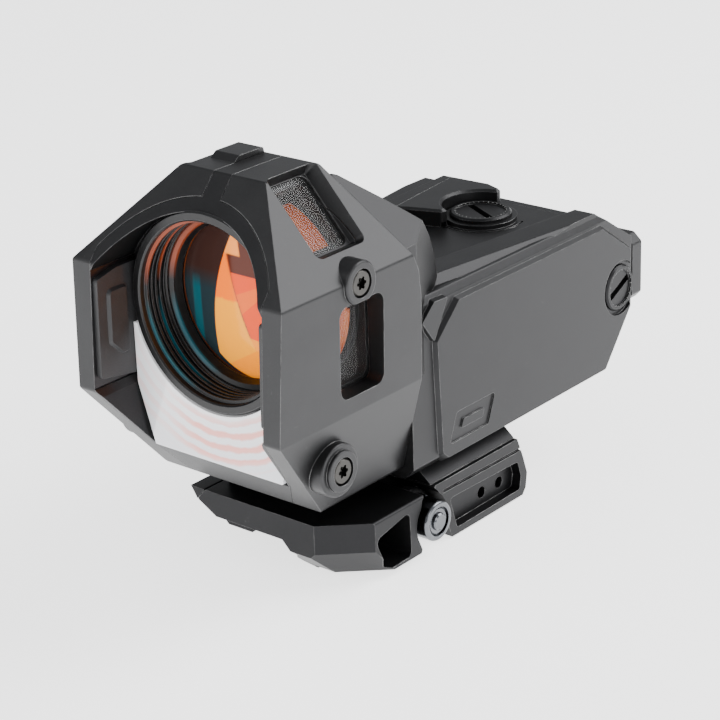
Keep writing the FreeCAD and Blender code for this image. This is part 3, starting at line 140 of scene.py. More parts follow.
class Finish:
    """One material, written as node calls on a Principled shader."""

    def __init__(self, name):
        self.material = bpy.data.materials.new(name)
        self.material.use_nodes = True
        self.tree = self.material.node_tree
        self.tree.nodes.clear()
        self.place = self.node("TexCoord").outputs["Object"]

    def node(self, kind, settings=None, inputs=None):
        """New node: its settings first, then the value or link of each socket."""
        made = self.tree.nodes.new("ShaderNode" + kind)
        for key, value in (settings or {}).items():
            if key == "stops":
                ramp = made.color_ramp.elements
                while len(ramp) < len(value):
                    ramp.new(0.5)
                for stop, (where, colour) in zip(ramp, value):
                    stop.position = where
                    stop.color = (*colour, 1.0)
            else:
                setattr(made, key, value)
        for key, value in (inputs or {}).items():
            socket = made.inputs[key]
            if isinstance(value, Reading):
                value = value.socket
            if isinstance(value, bpy.types.NodeSocket):
                self.tree.links.new(value, socket)
            elif isinstance(value, (tuple, list)) and socket.type == "RGBA":
                socket.default_value = (*value[:3], 1.0)
            else:
                socket.default_value = value
        return made

    def maths(self, operation, *values, clamp=False):
        made = self.node("Math", {"operation": operation, "use_clamp": clamp}, dict(enumerate(values)))
        return Reading(self, made.outputs[0])

    def blend(self, mask, first, second):
        """Colour that goes from first to second as mask goes from 0 to 1."""
        made = self.node("Mix", {"data_type": "RGBA", "clamp_factor": True}, {0: mask, 6: first, 7: second})
        return made.outputs[2]

    def vector(self, operation, first, second):
        return self.node("VectorMath", {"operation": operation}, {0: first, 1: second})

    def offset(self, centre):
        """Place on the object measured from centre, in millimetres, as three numbers."""
        moved = self.vector("SUBTRACT", self.place, tuple(centre)).outputs["Vector"]
        scaled = self.vector("SCALE", moved, (0, 0, 0))
        scaled.inputs["Scale"].default_value = 1.0 / MM
        parts = self.node("SeparateXYZ", None, {0: scaled.outputs["Vector"]}).outputs
        return [Reading(self, parts[i]) for i in range(3)]

    def grain(self, size, detail=2.0, stretch=None):
        """Cloudy noise, size in millimetres, about 0.5 in the middle."""
        where = self.place
        if stretch:
            where = self.node("Mapping", None, {"Vector": where, "Scale": stretch}).outputs[0]
        made = self.node("TexNoise", None, {"Vector": where, "Scale": 1.0 / (size * MM), "Detail": detail,
                                            "Roughness": 0.55})
        return Reading(self, made.outputs["Fac"])

    def eased(self, radius):
        """Normal with the edges rounded off by radius, in millimetres, and a mask of those edges."""
        round_off = self.node("Bevel", {"samples": 4}, {"Radius": radius * MM}).outputs["Normal"]
        true_normal = self.node("NewGeometry").outputs["Normal"]
        agree = Reading(self, self.vector("DOT_PRODUCT", round_off, true_normal).outputs["Value"])
        return round_off, ((1.0 - agree) * 5.0).limited()

    def bump(self, height, depth, normal=None):
        """Surface pushed out by height, depth in millimetres for a height of 1."""
        inputs = {"Height": height, "Distance": depth * MM, "Strength": 1.0}
        if normal is not None:
            inputs["Normal"] = normal
        return self.node("Bump", None, inputs).outputs[0]

    def shade(self, **sockets):
        """Principled shader with these sockets; underscores stand for spaces."""
        named = {key.replace("_", " "): value for key, value in sockets.items()}
        shader = self.node("BsdfPrincipled", None, named)
        self.node("OutputMaterial", None, {"Surface": shader.outputs[0]})
        return self.material


def dress(obj, material):
    """Gives obj that material."""
    obj.data.materials.clear()
    obj.data.materials.append(material)


def nodes_of(*slots):
    """CAD nodes whose material slot is one of these, by name."""
    found = [n for n in frame["nodes"] if SLOT_OF.get(n) in slots]
    if not found:
        raise RuntimeError("no CAD node uses the slots %s" % ", ".join(slots))
    return found


def dress_nodes(material, *slots):
    for name in nodes_of(*slots):
        obj = frame["nodes"][name]
        obj.data.materials.clear()
        obj.data.materials.append(material)


# ---------------------------------------------------------------- finishes
def coating(name, colour, worn, rough, metal, grain_size=0.16, grain_depth=0.012, ease=0.22):
    """Bead-blasted, hard-anodised alloy: fine pits, slow colour drift, edges rubbed paler."""
    f = Finish(name)
    pits = f.grain(grain_size, 2.0)
    drift = f.grain(9.0, 3.0)
    patch = f.grain(2.2, 4.0)
    normal, edges = f.eased(ease)
    rub = (edges * patch.past(0.42, 0.35)).limited()
    scuff = f.grain(0.9, 3.0, (1.0, 0.25, 1.0)).past(0.70, 0.10) * patch.past(0.60, 0.1) * 0.10
    dark = tuple(c * 0.80 for c in colour)
    light = tuple(c * 1.22 for c in colour)
    base = f.blend(drift, dark, light)
    base = f.blend(pits.past(0.62, 0.25) * 0.35, base, tuple(c * 1.6 for c in colour))
    base = f.blend((rub * 0.75 + scuff).limited(), base, worn)
    roughness = (drift - 0.5) * 0.12 + (pits - 0.5) * 0.10 - rub * 0.10 + rough
    return f.shade(Base_Color=base, Roughness=roughness, Metallic=metal,
                   Normal=f.bump(pits, grain_depth, normal))


def turned_steel(name, colour, rough, axis, centre):
    """Machined steel: fine rings about axis, oil-darkened patches, bright rims."""
    f = Finish(name)
    part = f.offset(centre)
    others = [part[i] for i in range(3) if i != axis]
    radius = (others[0] * others[0] + others[1] * others[1]).power(0.5)
    rings = (radius * 26.0).wave() * 0.5 + 0.5
    patch = f.grain(1.4, 3.0)
    fine = f.grain(0.12, 2.0)
    normal, edges = f.eased(0.15)
    base = f.blend(patch, tuple(c * 0.75 for c in colour), tuple(c * 1.2 for c in colour))
    base = f.blend(edges * 0.7, base, tuple(min(1.0, c * 2.2) for c in colour))
    roughness = (patch - 0.5) * 0.18 + (fine - 0.5) * 0.08 + rough
    return f.shade(Base_Color=base, Roughness=roughness, Metallic=1.0,
                   Normal=f.bump(rings * 0.6 + fine * 0.4, 0.006, normal))


def moulded(name, colour, rough, size=0.35, depth=0.02):
    """Moulded rubber or polymer: pebbled skin with a dusty bloom."""
    f = Finish(name)
    pebble = f.node("TexVoronoi", {"feature": "SMOOTH_F1"}, {"Vector": f.place, "Scale": 1.0 / (size * MM)})
    pebble = Reading(f, pebble.outputs["Distance"])
    bloom = f.grain(3.0, 4.0)
    normal, edges = f.eased(0.2)
    base = f.blend(bloom, tuple(c * 0.7 for c in colour), tuple(c * 1.5 for c in colour))
    base = f.blend(edges * 0.4, base, tuple(c * 2.5 + 0.01 for c in colour))
    return f.shade(Base_Color=base, Roughness=(bloom - 0.5) * 0.2 + (pebble * 0.05) + rough,
                   Normal=f.bump(pebble, depth, normal))


def clear_glass(name, tint, alpha):
    """Thin coated pane: faint tint, a smear of cleaning marks, brighter towards its edges."""
    f = Finish(name)
    smear = f.grain(4.0, 4.0, (1.0, 0.4, 1.0))
    speck = f.grain(0.25, 1.0).past(0.74, 0.05)
    normal, edges = f.eased(0.25)
    base = f.blend(smear, tint, tuple(c * 0.6 for c in tint))
    return f.shade(Base_Color=base, Roughness=(smear.past(0.55, 0.3) * 0.07 + speck * 0.1 + 0.03),
                   Alpha=(edges * 0.5 + speck * 0.15 + alpha).limited(), IOR=1.5,
                   Normal=f.bump(smear, 0.002, normal))


def coated_lens_painted_light(name):
    """Front lens: orange coating tint with painted reflections, painted shade and a painted glow, laid in
    flat facets split by straight and bowed edges.

    x and z run from the middle of the bore in millimetres. The bright field lies right of a bowed
    edge x = -7.7 + 0.0121 (z + 8)^2; a leaning crease x = -1.3 - 0.33 z + 0.006 z^2 halves it.
    """
    f = Finish(name)
    x, _, z = f.offset(BORE)
    bowed = (z + 8.0) * (z + 8.0) * 0.0121 - 7.7
    crease = z * z * 0.006 - z * 0.33 - 1.3
    radius = ((x - 2.5) * (x - 2.5) + (z + 0.6) * (z + 0.6)).power(0.5)
    rim = (x * x + z * z).power(0.5)
    ripple = f.grain(1.1, 2.0) - 0.5
    # field: the lit area of the lens, which carries the painted reflections and the painted glow
    field = (x - bowed).past(0.0, 0.25) * radius.upto(15.6, 0.25)
    right = (x - crease).past(0.0, 0.2)

    # Amber to gold facets: the coating's tint with painted reflections laid over it
    amber, straw = (1.0, 0.17, 0.0), (1.0, 0.36, 0.005)
    flame, coral, umber = (0.80, 0.06, 0.0), (0.85, 0.12, 0.004), (0.08, 0.015, 0.006)
    gold = (1.0, 0.28, 0.0)
    left_side = f.blend((z + ripple).upto(-0.8, 0.5), amber, straw)
    left_side = f.blend((x * 0.5 - z * 0.86).past(9.9, 0.3), left_side, gold)
    right_side = f.blend(z.upto(5.0, 0.2), umber, flame)
    right_side = f.blend((z - x * 0.45).upto(1.4, 0.2), right_side, coral)
    right_side = f.blend((z - x * 0.85).upto(-2.8, 0.2), right_side, flame)
    right_side = f.blend((z + x * 0.1).upto(-7.4, 0.2), right_side, gold)
    bright = f.blend(right, left_side, right_side)
    seam = (x - crease).band(-0.28, 0.22, 0.12) * z.past(-7.5, 1.0)
    bright = f.blend(seam * (ripple + 0.6).limited(), bright, (0.25, 0.05, 0.02))
    bright = f.blend(z.past(8.6, 0.4) * (x + z * 0.2).upto(1.4, 0.4), bright, (1.0, 0.30, 0.04))

    # Dim part: painted shade, bluish low and brownish high
    shade_top = f.blend(z.past(2.5, 4.0), (0.022, 0.038, 0.045), (0.045, 0.020, 0.016))
    # Painted teal reflection in a band on the left of the dim part
    teal = x.band(-13.4, -11.2, 0.5) * z.upto(1.5, 3.0)
    dim = f.blend(teal, shade_top, (0.012, 0.105, 0.13))
    # Painted highlight along the lens rim
    lit_rim = rim.past(15.9, 0.3) * rim.upto(16.4, 0.2)
    dim = f.blend(lit_rim * 0.8, dim, (0.42, 0.09, 0.02))
    colour = f.blend(field, dim, bright)
    normal, _ = f.eased(0.15)
    # Painted glow: emission in the colour of the lit field, though the lens is no lamp
    glow = f.blend(field * 0.85 + 0.04, (0.0, 0.0, 0.0), colour)
    return f.shade(Base_Color=colour, Roughness=(ripple * 0.05 + 0.10), Metallic=0.0,
                   Emission_Color=glow, Emission_Strength=0.75, Specular_IOR_Level=0.2,
                   Normal=f.bump(ripple, 0.002, normal))


def blackened_tube(name):
    """Lens tube: black turned grooves with painted reflections of the lens coating's red and teal and a
    painted glow on one flank.
    """
    f = Finish(name)
    x, y, z = f.offset(BORE)
    radius = (x * x + z * z).power(0.5)
    inner = radius.upto(18.15, 0.1)
    turns = (y * 9.0).wave() * 0.5 + 0.5
    wide = (y * 2.1 + 0.8).wave() * 0.5 + 0.5
    patch = f.grain(1.8, 3.0)
    fine = f.grain(0.14, 2.0)
    normal, edges = f.eased(0.18)
    # Painted reflections of the lens coating: red and teal bands on the -x flank, inside the bore only
    flank = x.upto(-3.0, 8.0)
    red = flank * (z + x * 0.2).past(0.5, 5.0) * wide.past(0.84, 0.12) * inner
    teal = flank * x.upto(-7.0, 5.0) * z.upto(-3.5, 5.0) * wide.past(0.90, 0.10) * inner
    base = f.blend(patch, (0.004, 0.004, 0.004), (0.010, 0.010, 0.011))
    base = f.blend(edges * 0.8, base, (0.16, 0.16, 0.165))
    base = f.blend(red * 0.8, base, (0.26, 0.045, 0.012))
    base = f.blend(teal, base, (0.006, 0.07, 0.09))
    # Painted glow in the same red and teal
    glow = f.blend(red * 0.5, (0.0, 0.0, 0.0), (0.22, 0.035, 0.008))
    glow = f.blend(teal * 0.5, glow, (0.002, 0.05, 0.07))
    return f.shade(Base_Color=base, Roughness=(patch - 0.5) * 0.15 + 0.36, Metallic=0.25,
                   Emission_Color=glow, Emission_Strength=0.7,
                   Normal=f.bump(turns * 0.5 + fine * 0.5, 0.01, normal))


def clear_collector(name):
    """Clear light collector: milky body with curved rosy bands about the bore, painted where the winding
    shows through, a painted glow over the whole body and painted highlights on its edges.
    """
    f = Finish(name)
    x, _, z = f.offset(BORE)
    wobble = f.grain(3.5, 3.0) - 0.5
    radius = (x * x + z * z).power(0.5) + wobble * 1.2
    band = (radius * 2.4).wave() * 0.5 + 0.5
    reach = radius.band(21.5, 30.5, 3.0)
    side = x.past(-9.0, 8.0)
    # Painted glow of the winding seen through the collector, stronger on the +x side
    rosy = band.past(0.55, 0.5) * reach * (side * 0.75 + 0.25)
    normal, edges = f.eased(0.3)
    base = f.blend(radius.past(27.0, 8.0), (0.80, 0.81, 0.83), (0.66, 0.67, 0.70))
    base = f.blend(rosy * 0.9, base, (0.88, 0.26, 0.19))
    # Painted highlight: edges blended to white
    base = f.blend(edges * 0.8, base, (1.0, 1.0, 1.0))
    # Painted glow: grey over the body, rosy in the bands
    glow = f.blend(rosy * 0.4, (0.62, 0.62, 0.63), (0.74, 0.24, 0.18))
    return f.shade(Base_Color=base, Roughness=(wobble * 0.08 + 0.09), Emission_Color=glow,
                   Emission_Strength=0.5, Coat_Weight=0.8, Coat_Roughness=0.03, IOR=1.5,
                   Normal=f.bump(wobble, 0.01, normal))


def dyed_fibre(name):
    """Dyed light-gathering fibre: hot orange, with painted shade on the inner half of each turn, towards the
    tube and where the turns touch, and a painted glow on the outer half.
    """
    f = Finish(name)
    x, _, z = f.offset(BORE)
    radius = (x * x + z * z).power(0.5)
    # Outer half of each turn is the painted lit crown; the inner half takes painted shade
    lit_crown = radius.past(19.2, 0.7)
    drift = f.grain(5.0, 3.0)
    base = f.blend(lit_crown, (0.16, 0.016, 0.004), (0.50, 0.085, 0.012))
    base = f.blend(drift.past(0.6, 0.3) * 0.5, base, (1.0, 0.40, 0.10))
    # Painted glow on the crown only
    glow = f.blend(lit_crown * 0.5, (0.01, 0.001, 0.0), (0.40, 0.055, 0.006))
    return f.shade(Base_Color=base, Roughness=(drift - 0.5) * 0.1 + 0.2, Emission_Color=glow,
                   Emission_Strength=0.6, Coat_Weight=0.6, Normal=f.bump(drift, 0.004))


# ---------------------------------------------------------------- surfaces
def grid_mesh(name, points, close_u=False, close_v=False, smooth=True):
    """Mesh of an array of points [u, v, xyz]: a quad between each four neighbours, closed where told."""
    nu, nv = points.shape[:2]
    index = np.arange(nu * nv).reshape(nu, nv)
    a = index if close_u else index[:-1]
    b = np.roll(index, -1, 0) if close_u else index[1:]
    if close_v:
        quads = np.stack([a, np.roll(a, -1, 1), np.roll(b, -1, 1), b], -1)
    else:
        quads = np.stack([a[:, :-1], a[:, 1:], b[:, 1:], b[:, :-1]], -1)
    return surface(name, points.reshape(-1, 3), quads.reshape(-1, 4), smooth)


def surface(name, points, quads, smooth=True):
    """Object at the origin holding these points and four-cornered faces, faces turned outwards."""
    mesh = bpy.data.meshes.new(name)
    mesh.from_pydata(points.tolist(), [], quads.tolist())
    mesh.validate()
    mesh.update()
    mesh.polygons.foreach_set("use_smooth", np.full(len(mesh.polygons), smooth))
    obj = bpy.data.objects.new(name, mesh)
    bpy.context.scene.collection.objects.link(obj)
    bm_outward(mesh)
    return obj


def bm_outward(mesh):
    """Turns every face of a mesh outwards."""
    b = bmesh.new()
    b.from_mesh(mesh)
    bmesh.ops.recalc_face_normals(b, faces=b.faces)
    b.to_mesh(mesh)
    b.free()


def along_path(path, across, up, profile):
    """Profile carried along a path: each path point plus profile a times across plus profile b times up."""
    return (path[:, None, :] + profile[None, :, 0, None] * across[:, None, :] +
            profile[None, :, 1, None] * up[:, None, :])


def capped(points, centre_first, centre_last):
    """Grid [u, v] with a row of equal points added at each end, so that both ends are closed."""
    n = points.shape[1]
    first = np.repeat(np.asarray(centre_first)[None, None, :], n, 1)
    last = np.repeat(np.asarray(centre_last)[None, None, :], n, 1)
    return np.concatenate([first, points, last], 0)


def fibre_winding(turns, radius, thick):
    """Helix tube: circle of radius thick swept along (r cos t, pitch t, r sin t) about the bore."""
    lo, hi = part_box("fibre_coil")
    start, end = lo.y + thick, hi.y - thick
    t = np.linspace(0.0, 2.0 * math.pi * turns, turns * 120 + 1)
    axis_y = start + (end - start) * t / t[-1]
    path = np.stack([BORE.x + radius * np.cos(t), axis_y, BORE.z + radius * np.sin(t)], 1)
    outward = np.stack([np.cos(t), np.zeros_like(t), np.sin(t)], 1)
    along = np.stack([np.zeros_like(t), np.ones_like(t), np.zeros_like(t)], 1)
    a = np.linspace(0.0, 2.0 * math.pi, 12, endpoint=False)
    ring = np.stack([np.cos(a), np.sin(a)], 1) * thick
    grid = capped(along_path(path, outward, along, ring), path[0], path[-1])
    return grid_mesh("fibre_winding", grid, close_v=True)


def tick_ring(name, centre, axis, radius, count, first, sweep, size, height):
    """Index ticks on a face: count small wedges on an arc, each a flattened half-round bar."""
    angles = np.radians(first + np.arange(count) * sweep / max(count - 1, 1))
    a = np.linspace(0.0, math.pi, 6)
    length = np.array([-1.0, -0.9, 0.9, 1.0])
    scale = np.array([0.35, 1.0, 1.0, 0.35])
    u, v = [np.eye(3)[i] for i in range(3) if i != axis]
    w = np.eye(3)[axis]
    long_by = np.where(np.arange(count) % 5 == 0, 1.5, 1.0)
    radial = np.cos(angles)[:, None] * u + np.sin(angles)[:, None] * v
    side = -np.sin(angles)[:, None] * u + np.cos(angles)[:, None] * v
    half_width, sunk = size * 0.22, 0.04 * MM
    ends = length[None, :, None, None]
    drawn_in = scale[None, :, None, None]
    outward = radial[:, None, None, :] * (radius + long_by[:, None, None, None] * size * ends)
    sideways = side[:, None, None, :] * (np.cos(a)[None, None, :, None] * half_width * drawn_in)
    upward = w * ((np.sin(a) * height)[None, None, :, None] * drawn_in - sunk)
    points = outward + sideways + upward + np.asarray(centre)
    n, nl, na = points.shape[:3]
    index = np.arange(n * nl * na).reshape(n, nl, na)
    skin = np.stack([index[:, :-1, :-1], index[:, 1:, :-1], index[:, 1:, 1:], index[:, :-1, 1:]], -1)
    floor = np.stack([index[:, :-1, 0], index[:, 1:, 0], index[:, 1:, -1], index[:, :-1, -1]], -1)
    caps = [np.stack([index[:, k, 0], index[:, k, 1], index[:, k, 4], index[:, k, 5]], -1) for k in (0, -1)]
    caps += [np.stack([index[:, k, 1], index[:, k, 2], index[:, k, 3], index[:, k, 4]], -1) for k in (0, -1)]
    quads = np.concatenate([skin.reshape(-1, 4), floor.reshape(-1, 4)] + [c.reshape(-1, 4) for c in caps])
    return surface(name, points.reshape(-1, 3), quads, smooth=False)


def ridge_bars(name, centres, along, out, width, length, height):
    """Grip ridges: half-round bars, cos a across and sin a outwards, drawn in to a point at both ends."""
    a = np.linspace(0.0, 2.0 * math.pi, 16, endpoint=False)
    s = np.linspace(-1.0, 1.0, 9)
    taper = np.sqrt(np.clip(1.0 - s ** 6, 0.0, 1.0))
    centres, along, out = (np.asarray(v, float) for v in (centres, along, out))
    across = np.cross(along, out)
    points = (centres[:, None, None, :] + along * (s * length)[None, :, None, None] +
              across * (np.cos(a)[None, None, :, None] * width * taper[None, :, None, None]) +
              out * (np.sin(a)[None, None, :, None] * height * taper[None, :, None, None]))
    n, ns, na = points.shape[:3]
    index = np.arange(n * ns * na).reshape(n, ns, na)
    turned = np.roll(index, -1, 2)
    quads = np.stack([index[:, :-1], turned[:, :-1], turned[:, 1:], index[:, 1:]], -1).reshape(-1, 4)
    return surface(name, points.reshape(-1, 3), quads)


def dome(name, centre, radius, rise, depth):
    """Lamp lens on +Y's opposite side: depth is rise times (1 - s^2), s from the rim to the middle."""
    s = np.linspace(1.0, 0.0, 9)
    t = np.linspace(0.0, 2.0 * math.pi, 48, endpoint=False)
    s = np.concatenate([[0.0], np.linspace(0.5, 1.0, 3), s])
    y = np.concatenate([np.full(4, depth), np.where(s[4:] > 0.999, 0.0, -rise * (1.0 - s[4:] ** 2))])
    points = np.stack([radius * s[:, None] * np.cos(t), np.repeat(y[:, None], len(t), 1),
                       radius * s[:, None] * np.sin(t)], -1) + np.asarray(centre)
    return grid_mesh(name, points, close_v=True)


# ---------------------------------------------------------------- settings
def colour_setting(name, description, default):
    return FloatVectorProperty(name=name, description=description, default=default, size=3, min=0.0, max=1.0,
                               subtype="COLOR")


class SightFinishes(bpy.types.PropertyGroup):
    """Colours of the sight's coatings."""

    body: colour_setting("Body coat", "Anodised rear body and hood frame", (0.027, 0.027, 0.028))
    shell: colour_setting("Shell coat", "Anodised armour shells", (0.036, 0.036, 0.037))
    mount: colour_setting("Mount coat", "Anodised rail clamp", (0.016, 0.016, 0.017))
    worn: colour_setting("Worn edge", "Coating rubbed thin along edges", (0.22, 0.22, 0.22))
    dial: colour_setting("Dials", "Adjuster dials", (0.016, 0.016, 0.017))
    screw: colour_setting("Screws", "Blackened steel screws", (0.055, 0.053, 0.050))
    roughness: FloatProperty(name="Coat roughness", description="Roughness of the coat", default=0.40,
                             min=0.1, max=0.9, subtype="FACTOR")


class SightSizes(bpy.types.PropertyGroup):
    """Sizes of the small pieces."""

    fibre_turns: IntProperty(name="Fibre turns", description="Turns round the lens tube", default=15,
                             min=6, max=30)
    fibre_thick: FloatProperty(name="Fibre radius", description="Radius of the fibre", default=0.00046,
                               min=0.0002, max=0.001, subtype="DISTANCE", unit="LENGTH")
    grip_ridges: IntProperty(name="Grip ridges", description="Ridges on the lever's thumb pad", default=7,
                             min=3, max=12)
    dial_ticks: IntProperty(name="Dial ticks", description="Index ticks beside the top dial", default=11,
                            min=3, max=31)


class SightStage(bpy.types.PropertyGroup):
    """Light and floor."""

    key: FloatProperty(name="Key light", description="Power of the large soft light", default=8.0, min=0.0,
                       max=100.0, unit="POWER")
    fill: FloatProperty(name="Fill light", description="Power of the front light", default=3.0, min=0.0,
                        max=100.0, unit="POWER")
    floor: colour_setting("Floor", "Pale floor", (0.90, 0.90, 0.90))
    glow: FloatProperty(name="Floor glow", description="Light that the pale floor gives back", default=2.0,
                        min=0.0, max=5.0)


# ---------------------------------------------------------------- operators
class SIGHT_OT_coats(bpy.types.Operator):
    """Anodise the housing, shells, mount, dials and collar"""

    bl_idname = "sight.coats"
    bl_label = "Coat alloy parts"

    def execute(self, context):
        s = context.scene.sight_finishes
        worn = tuple(s.worn)
        dress_nodes(coating("anodised_body", tuple(s.body), worn, s.roughness, 0.85), "body_coat")
        dress_nodes(coating("anodised_shell", tuple(s.shell), worn, s.roughness - 0.02, 0.85), "shell_coat")
        dress_nodes(coating("anodised_mount", tuple(s.mount), worn, s.roughness, 0.85, 0.2, 0.015),
                    "mount_coat")
        dress_nodes(coating("dial_coat", tuple(s.dial), worn, 0.38, 0.8, 0.12, 0.008, 0.15), "dial_black")
        dress_nodes(coating("collar_coat", (0.02, 0.02, 0.021), (0.2, 0.2, 0.2), 0.22, 0.5, 0.2, 0.004, 0.3),
                    "collar_black")
        dress_nodes(coating("bare_alloy", (0.45, 0.45, 0.46), (0.7, 0.7, 0.7), 0.40, 1.0, 0.2, 0.006, 0.15),
                    "bare_alloy")
        return {"FINISHED"}


class SIGHT_OT_fastenings(bpy.types.Operator):
    """Finish the screws, pins, bolt, nut and brass pieces"""

    bl_idname = "sight.fastenings"
    bl_label = "Finish fastenings"

    def execute(self, context):
        s = context.scene.sight_finishes
        bolt = middle("tension_nut")
        head = middle("hood_screw_upper_left")
        dress_nodes(turned_steel("blackened_steel", tuple(s.screw), 0.36, 0, head), "screw_steel")
        dress_nodes(turned_steel("polished_steel", (0.13, 0.135, 0.145), 0.20, 0, bolt), "polished_steel")
        dress_nodes(turned_steel("guide_steel", (0.42, 0.42, 0.42), 0.28, 2, middle("guide_post_left")),
                    "guide_steel")
        dress_nodes(turned_steel("brass", (0.62, 0.43, 0.17), 0.26, 1, middle("elevation_dial")), "brass")
        return {"FINISHED"}


class SIGHT_OT_glass(bpy.types.Operator):
    """Coat the lenses and the windows"""

    bl_idname = "sight.glass"
    bl_label = "Coat glass"

    def execute(self, context):
        dress_nodes(clear_glass("window_glass", (0.05, 0.05, 0.05), 0.16), "window_glass")
        dress_nodes(clear_glass("lens_glass", (0.30, 0.36, 0.38), 0.30), "coated_glass")
        lens = frame["nodes"]["objective_front"].data.materials
        lens.clear()
        lens.append(coated_lens_painted_light("lens_coating_painted_light"))
        return {"FINISHED"}


class SIGHT_OT_tube(bpy.types.Operator):
    """Blacken the lens tube"""

    bl_idname = "sight.tube"
    bl_label = "Blacken lens tube"

    def execute(self, context):
        dress_nodes(blackened_tube("blackened_tube"), "tube_black")
        return {"FINISHED"}


class SIGHT_OT_collector(bpy.types.Operator):
    """Make the light collector clear"""

    bl_idname = "sight.collector"
    bl_label = "Clear collector"

    def execute(self, context):
        dress_nodes(clear_collector("clear_collector"), "collector")
        return {"FINISHED"}


class SIGHT_OT_mouldings(bpy.types.Operator):
    """Finish the liners and the seals"""

    bl_idname = "sight.mouldings"
    bl_label = "Finish mouldings"

    def execute(self, context):
        dress_nodes(moulded("liner_polymer", (0.018, 0.018, 0.019), 0.5, 0.4, 0.02), "liner")
        dress_nodes(moulded("seal_rubber", (0.012, 0.012, 0.012), 0.62, 0.25, 0.01), "seal_rubber")
        return {"FINISHED"}


class SIGHT_OT_fibre(bpy.types.Operator):
    """Wind the fibre round the lens tube"""

    bl_idname = "sight.fibre"
    bl_label = "Wind fibre"

    def execute(self, context):
        s = context.scene.sight_sizes
        lo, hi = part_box("fibre_coil")
        radius = (hi.x - lo.x) / 2.0 - s.fibre_thick - 0.02 * MM
        obj = fibre_winding(s.fibre_turns, radius, s.fibre_thick)
        dress(obj, dyed_fibre("dyed_fibre"))
        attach(obj, "sight")
        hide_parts("fibre_coil")
        return {"FINISHED"}


class SIGHT_OT_lamp(bpy.types.Operator):
    """Light the aiming mark's lamp"""

    bl_idname = "sight.lamp"
    bl_label = "Fit lamp"

    def execute(self, context):
        f = Finish("lamp_lens")
        x, _, z = f.offset(middle("mark_lamp"))
        radius = (x * x + z * z).power(0.5)
        cloud = f.grain(0.8, 2.0)
        core = radius.upto(1.2, 1.2)
        base = f.blend(core, (0.25, 0.02, 0.015), (0.95, 0.25, 0.18))
        glow = f.blend(core, (0.02, 0.0, 0.0), (0.9, 0.06, 0.03))
        lens = f.shade(Base_Color=base, Roughness=(cloud - 0.5) * 0.1 + 0.2, Emission_Color=glow,
                       Emission_Strength=1.0, Normal=f.bump(cloud, 0.004))
        dress_nodes(lens, "lamp")
        centre = middle("mark_lamp")
        at = (centre.x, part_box("mark_lamp")[0].y, centre.z)
        obj = dome("lamp_dome", at, 2.0 * MM, 0.35 * MM, 0.2 * MM)
        dress(obj, lens)
        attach(obj, "mark_holder")
        return {"FINISHED"}


class SIGHT_OT_ticks(bpy.types.Operator):
    """Set the index ticks beside the dials"""

    bl_idname = "sight.ticks"
    bl_label = "Set index ticks"

    def execute(self, context):
        s = context.scene.sight_sizes
        paint = coating("tick_paint", (0.42, 0.42, 0.41), (0.6, 0.6, 0.6), 0.55, 0.1, 0.15, 0.004, 0.05)
        sunk = 0.02 * MM
        lo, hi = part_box("elevation_dial")
        c = (lo + hi) / 2.0
        radius = (hi.x - lo.x) / 2.0
        count = s.dial_ticks * 3
        top = tick_ring("top_dial_ticks", (c.x, c.y, hi.z - sunk), 2, radius - 0.95 * MM, count, 0.0,
                        360.0 - 360.0 / count, 0.30 * MM, 0.05 * MM)
        dress(top, paint)
        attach(top, "elevation_dial")
        lo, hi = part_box("windage_dial")
        c = (lo + hi) / 2.0
        count = s.dial_ticks * 2
        side = tick_ring("side_dial_ticks", (hi.x - sunk, c.y, c.z), 0, (hi.y - lo.y) / 2.0 - 0.85 * MM,
                         count, 0.0, 360.0 - 360.0 / count, 0.26 * MM, 0.05 * MM)
        dress(side, paint)
        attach(side, "windage_dial")
        return {"FINISHED"}


class SIGHT_OT_grip(bpy.types.Operator):
    """Ridge the thumb pad of the throw lever"""

    bl_idname = "sight.grip"
    bl_label = "Ridge lever"

    def execute(self, context):
        s = context.scene.sight_sizes
        lo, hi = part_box("throw_lever")
        # The pad's outer face leans: it is furthest out 3 mm from the tip and falls back by lean per unit.
        lean, height, sunk = 0.0667, 0.24 * MM, 0.05 * MM
        y = np.linspace(hi.y - 15.0 * MM, hi.y - 6.0 * MM, s.grip_ridges)
        x = lo.x + lean * (hi.y - 3.0 * MM - y) + sunk
        z = np.full_like(y, (lo.z + hi.z) / 2.0)
        obj = ridge_bars("lever_ridges", np.stack([x, y, z], 1), (0, 0, 1), (-1, 0, 0), 0.32 * MM,
                         (hi.z - lo.z) * 0.28, height)
        dress(obj, bpy.data.materials["anodised_mount"])
        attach(obj, "throw_lever")
        return {"FINISHED"}


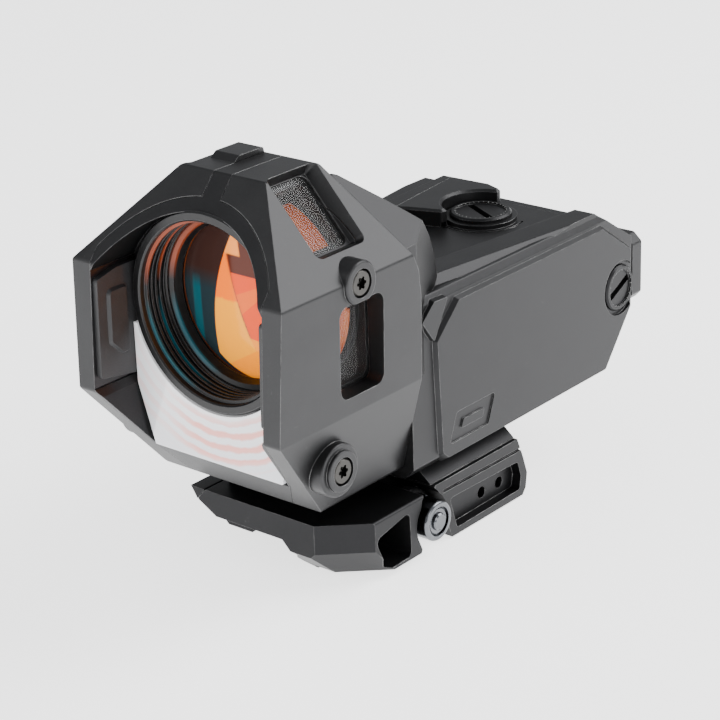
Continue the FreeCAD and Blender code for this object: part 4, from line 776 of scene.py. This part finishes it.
class SIGHT_OT_stage(bpy.types.Operator):
    """Set the floor, lights and camera"""

    bl_idname = "sight.stage"
    bl_label = "Set stage"

    def execute(self, context):
        s = context.scene.sight_stage
        scene = context.scene
        low = CAD_BOX[0].z - 0.0004
        span = np.linspace(-3.0, 3.0, 9)
        gx, gy = np.meshgrid(span, span, indexing="ij")
        floor = grid_mesh("floor", np.stack([gx, gy, np.full_like(gx, low)], -1))
        f = Finish("pale_floor")
        cloud = f.grain(180.0, 2.0)
        colour = f.blend(cloud, tuple(s.floor), tuple(min(1.0, c * 1.03) for c in s.floor))
        floor.data.materials.append(f.shade(Base_Color=colour, Roughness=0.7, Emission_Color=(1.0, 1.0, 1.0),
                                            Emission_Strength=s.glow))

        world = bpy.data.worlds.new("studio")
        world.use_nodes = True
        world.node_tree.nodes["Background"].inputs[0].default_value = (0.95, 0.97, 1.0, 1.0)
        world.node_tree.nodes["Background"].inputs[1].default_value = 0.55
        scene.world = world
        middle_point = (CAD_BOX[0] + CAD_BOX[1]) / 2.0
        self.lamp("key", s.key, (0.46, 0.62, 0.62), 0.85, 0.60, middle_point)
        self.lamp("fill", s.fill, (-0.30, -0.85, 0.42), 0.95, 0.70, middle_point)
        self.lamp("side", s.fill * 0.8, (0.95, -0.20, 0.30), 0.80, 0.45, middle_point)

        cam = bpy.data.objects.new("camera", bpy.data.cameras.new("camera"))
        scene.collection.objects.link(cam)
        cam.data.lens = 116.19
        cam.data.sensor_width = 36.0
        cam.data.clip_start = 0.01
        cam.data.clip_end = 20.0
        right = Vector((0.77201997, 0.634775, -0.03233996))
        up = Vector((-0.21571614, 0.30953812, 0.92609541))
        back = Vector((0.59787266, -0.70798789, 0.37590082))
        turn = Matrix((right, up, back)).transposed().to_4x4()
        cam.matrix_world = Matrix.Translation((0.282674, -0.331117, 0.202046)) @ turn
        scene.camera = cam
        return {"FINISHED"}

    def lamp(self, name, power, direction, distance, size, target):
        """Square soft light at distance along direction, facing target."""
        light = bpy.data.lights.new(name, "AREA")
        light.energy = power
        light.size = size
        obj = bpy.data.objects.new(name, light)
        bpy.context.scene.collection.objects.link(obj)
        way = Vector(direction).normalized()
        obj.matrix_world = (Matrix.Translation(target + way * distance) @
                            way.to_track_quat("Z", "Y").to_matrix().to_4x4())


class SIGHT_PT_panel(bpy.types.Panel):
    """Sight settings and steps."""

    bl_label = "Reflex sight"
    bl_idname = "SIGHT_PT_panel"
    bl_space_type = "VIEW_3D"
    bl_region_type = "UI"
    bl_category = "Sight"

    def draw(self, context):
        for group in ("sight_finishes", "sight_sizes", "sight_stage"):
            settings = getattr(context.scene, group)
            box = self.layout.box()
            for key in settings.__annotations__:
                box.prop(settings, key)
        for step in STEPS:
            self.layout.operator(step.bl_idname)


STEPS = (SIGHT_OT_coats, SIGHT_OT_fastenings, SIGHT_OT_glass, SIGHT_OT_tube, SIGHT_OT_collector,
         SIGHT_OT_mouldings, SIGHT_OT_fibre, SIGHT_OT_lamp, SIGHT_OT_ticks, SIGHT_OT_grip, SIGHT_OT_stage)
GROUPS = (("sight_finishes", SightFinishes), ("sight_sizes", SightSizes), ("sight_stage", SightStage))


def register():
    for _, group in GROUPS:
        bpy.utils.register_class(group)
    for name, group in GROUPS:
        setattr(bpy.types.Scene, name, PointerProperty(type=group))
    for step in STEPS:
        bpy.utils.register_class(step)
    bpy.utils.register_class(SIGHT_PT_panel)


def unregister():
    bpy.utils.unregister_class(SIGHT_PT_panel)
    for step in reversed(STEPS):
        bpy.utils.unregister_class(step)
    for name, group in reversed(GROUPS):
        delattr(bpy.types.Scene, name)
        bpy.utils.unregister_class(group)


def main():
    register()
    for step in STEPS:
        area, name = step.bl_idname.split(".")
        getattr(getattr(bpy.ops, area), name)()


if __name__ == "__main__":
    main()
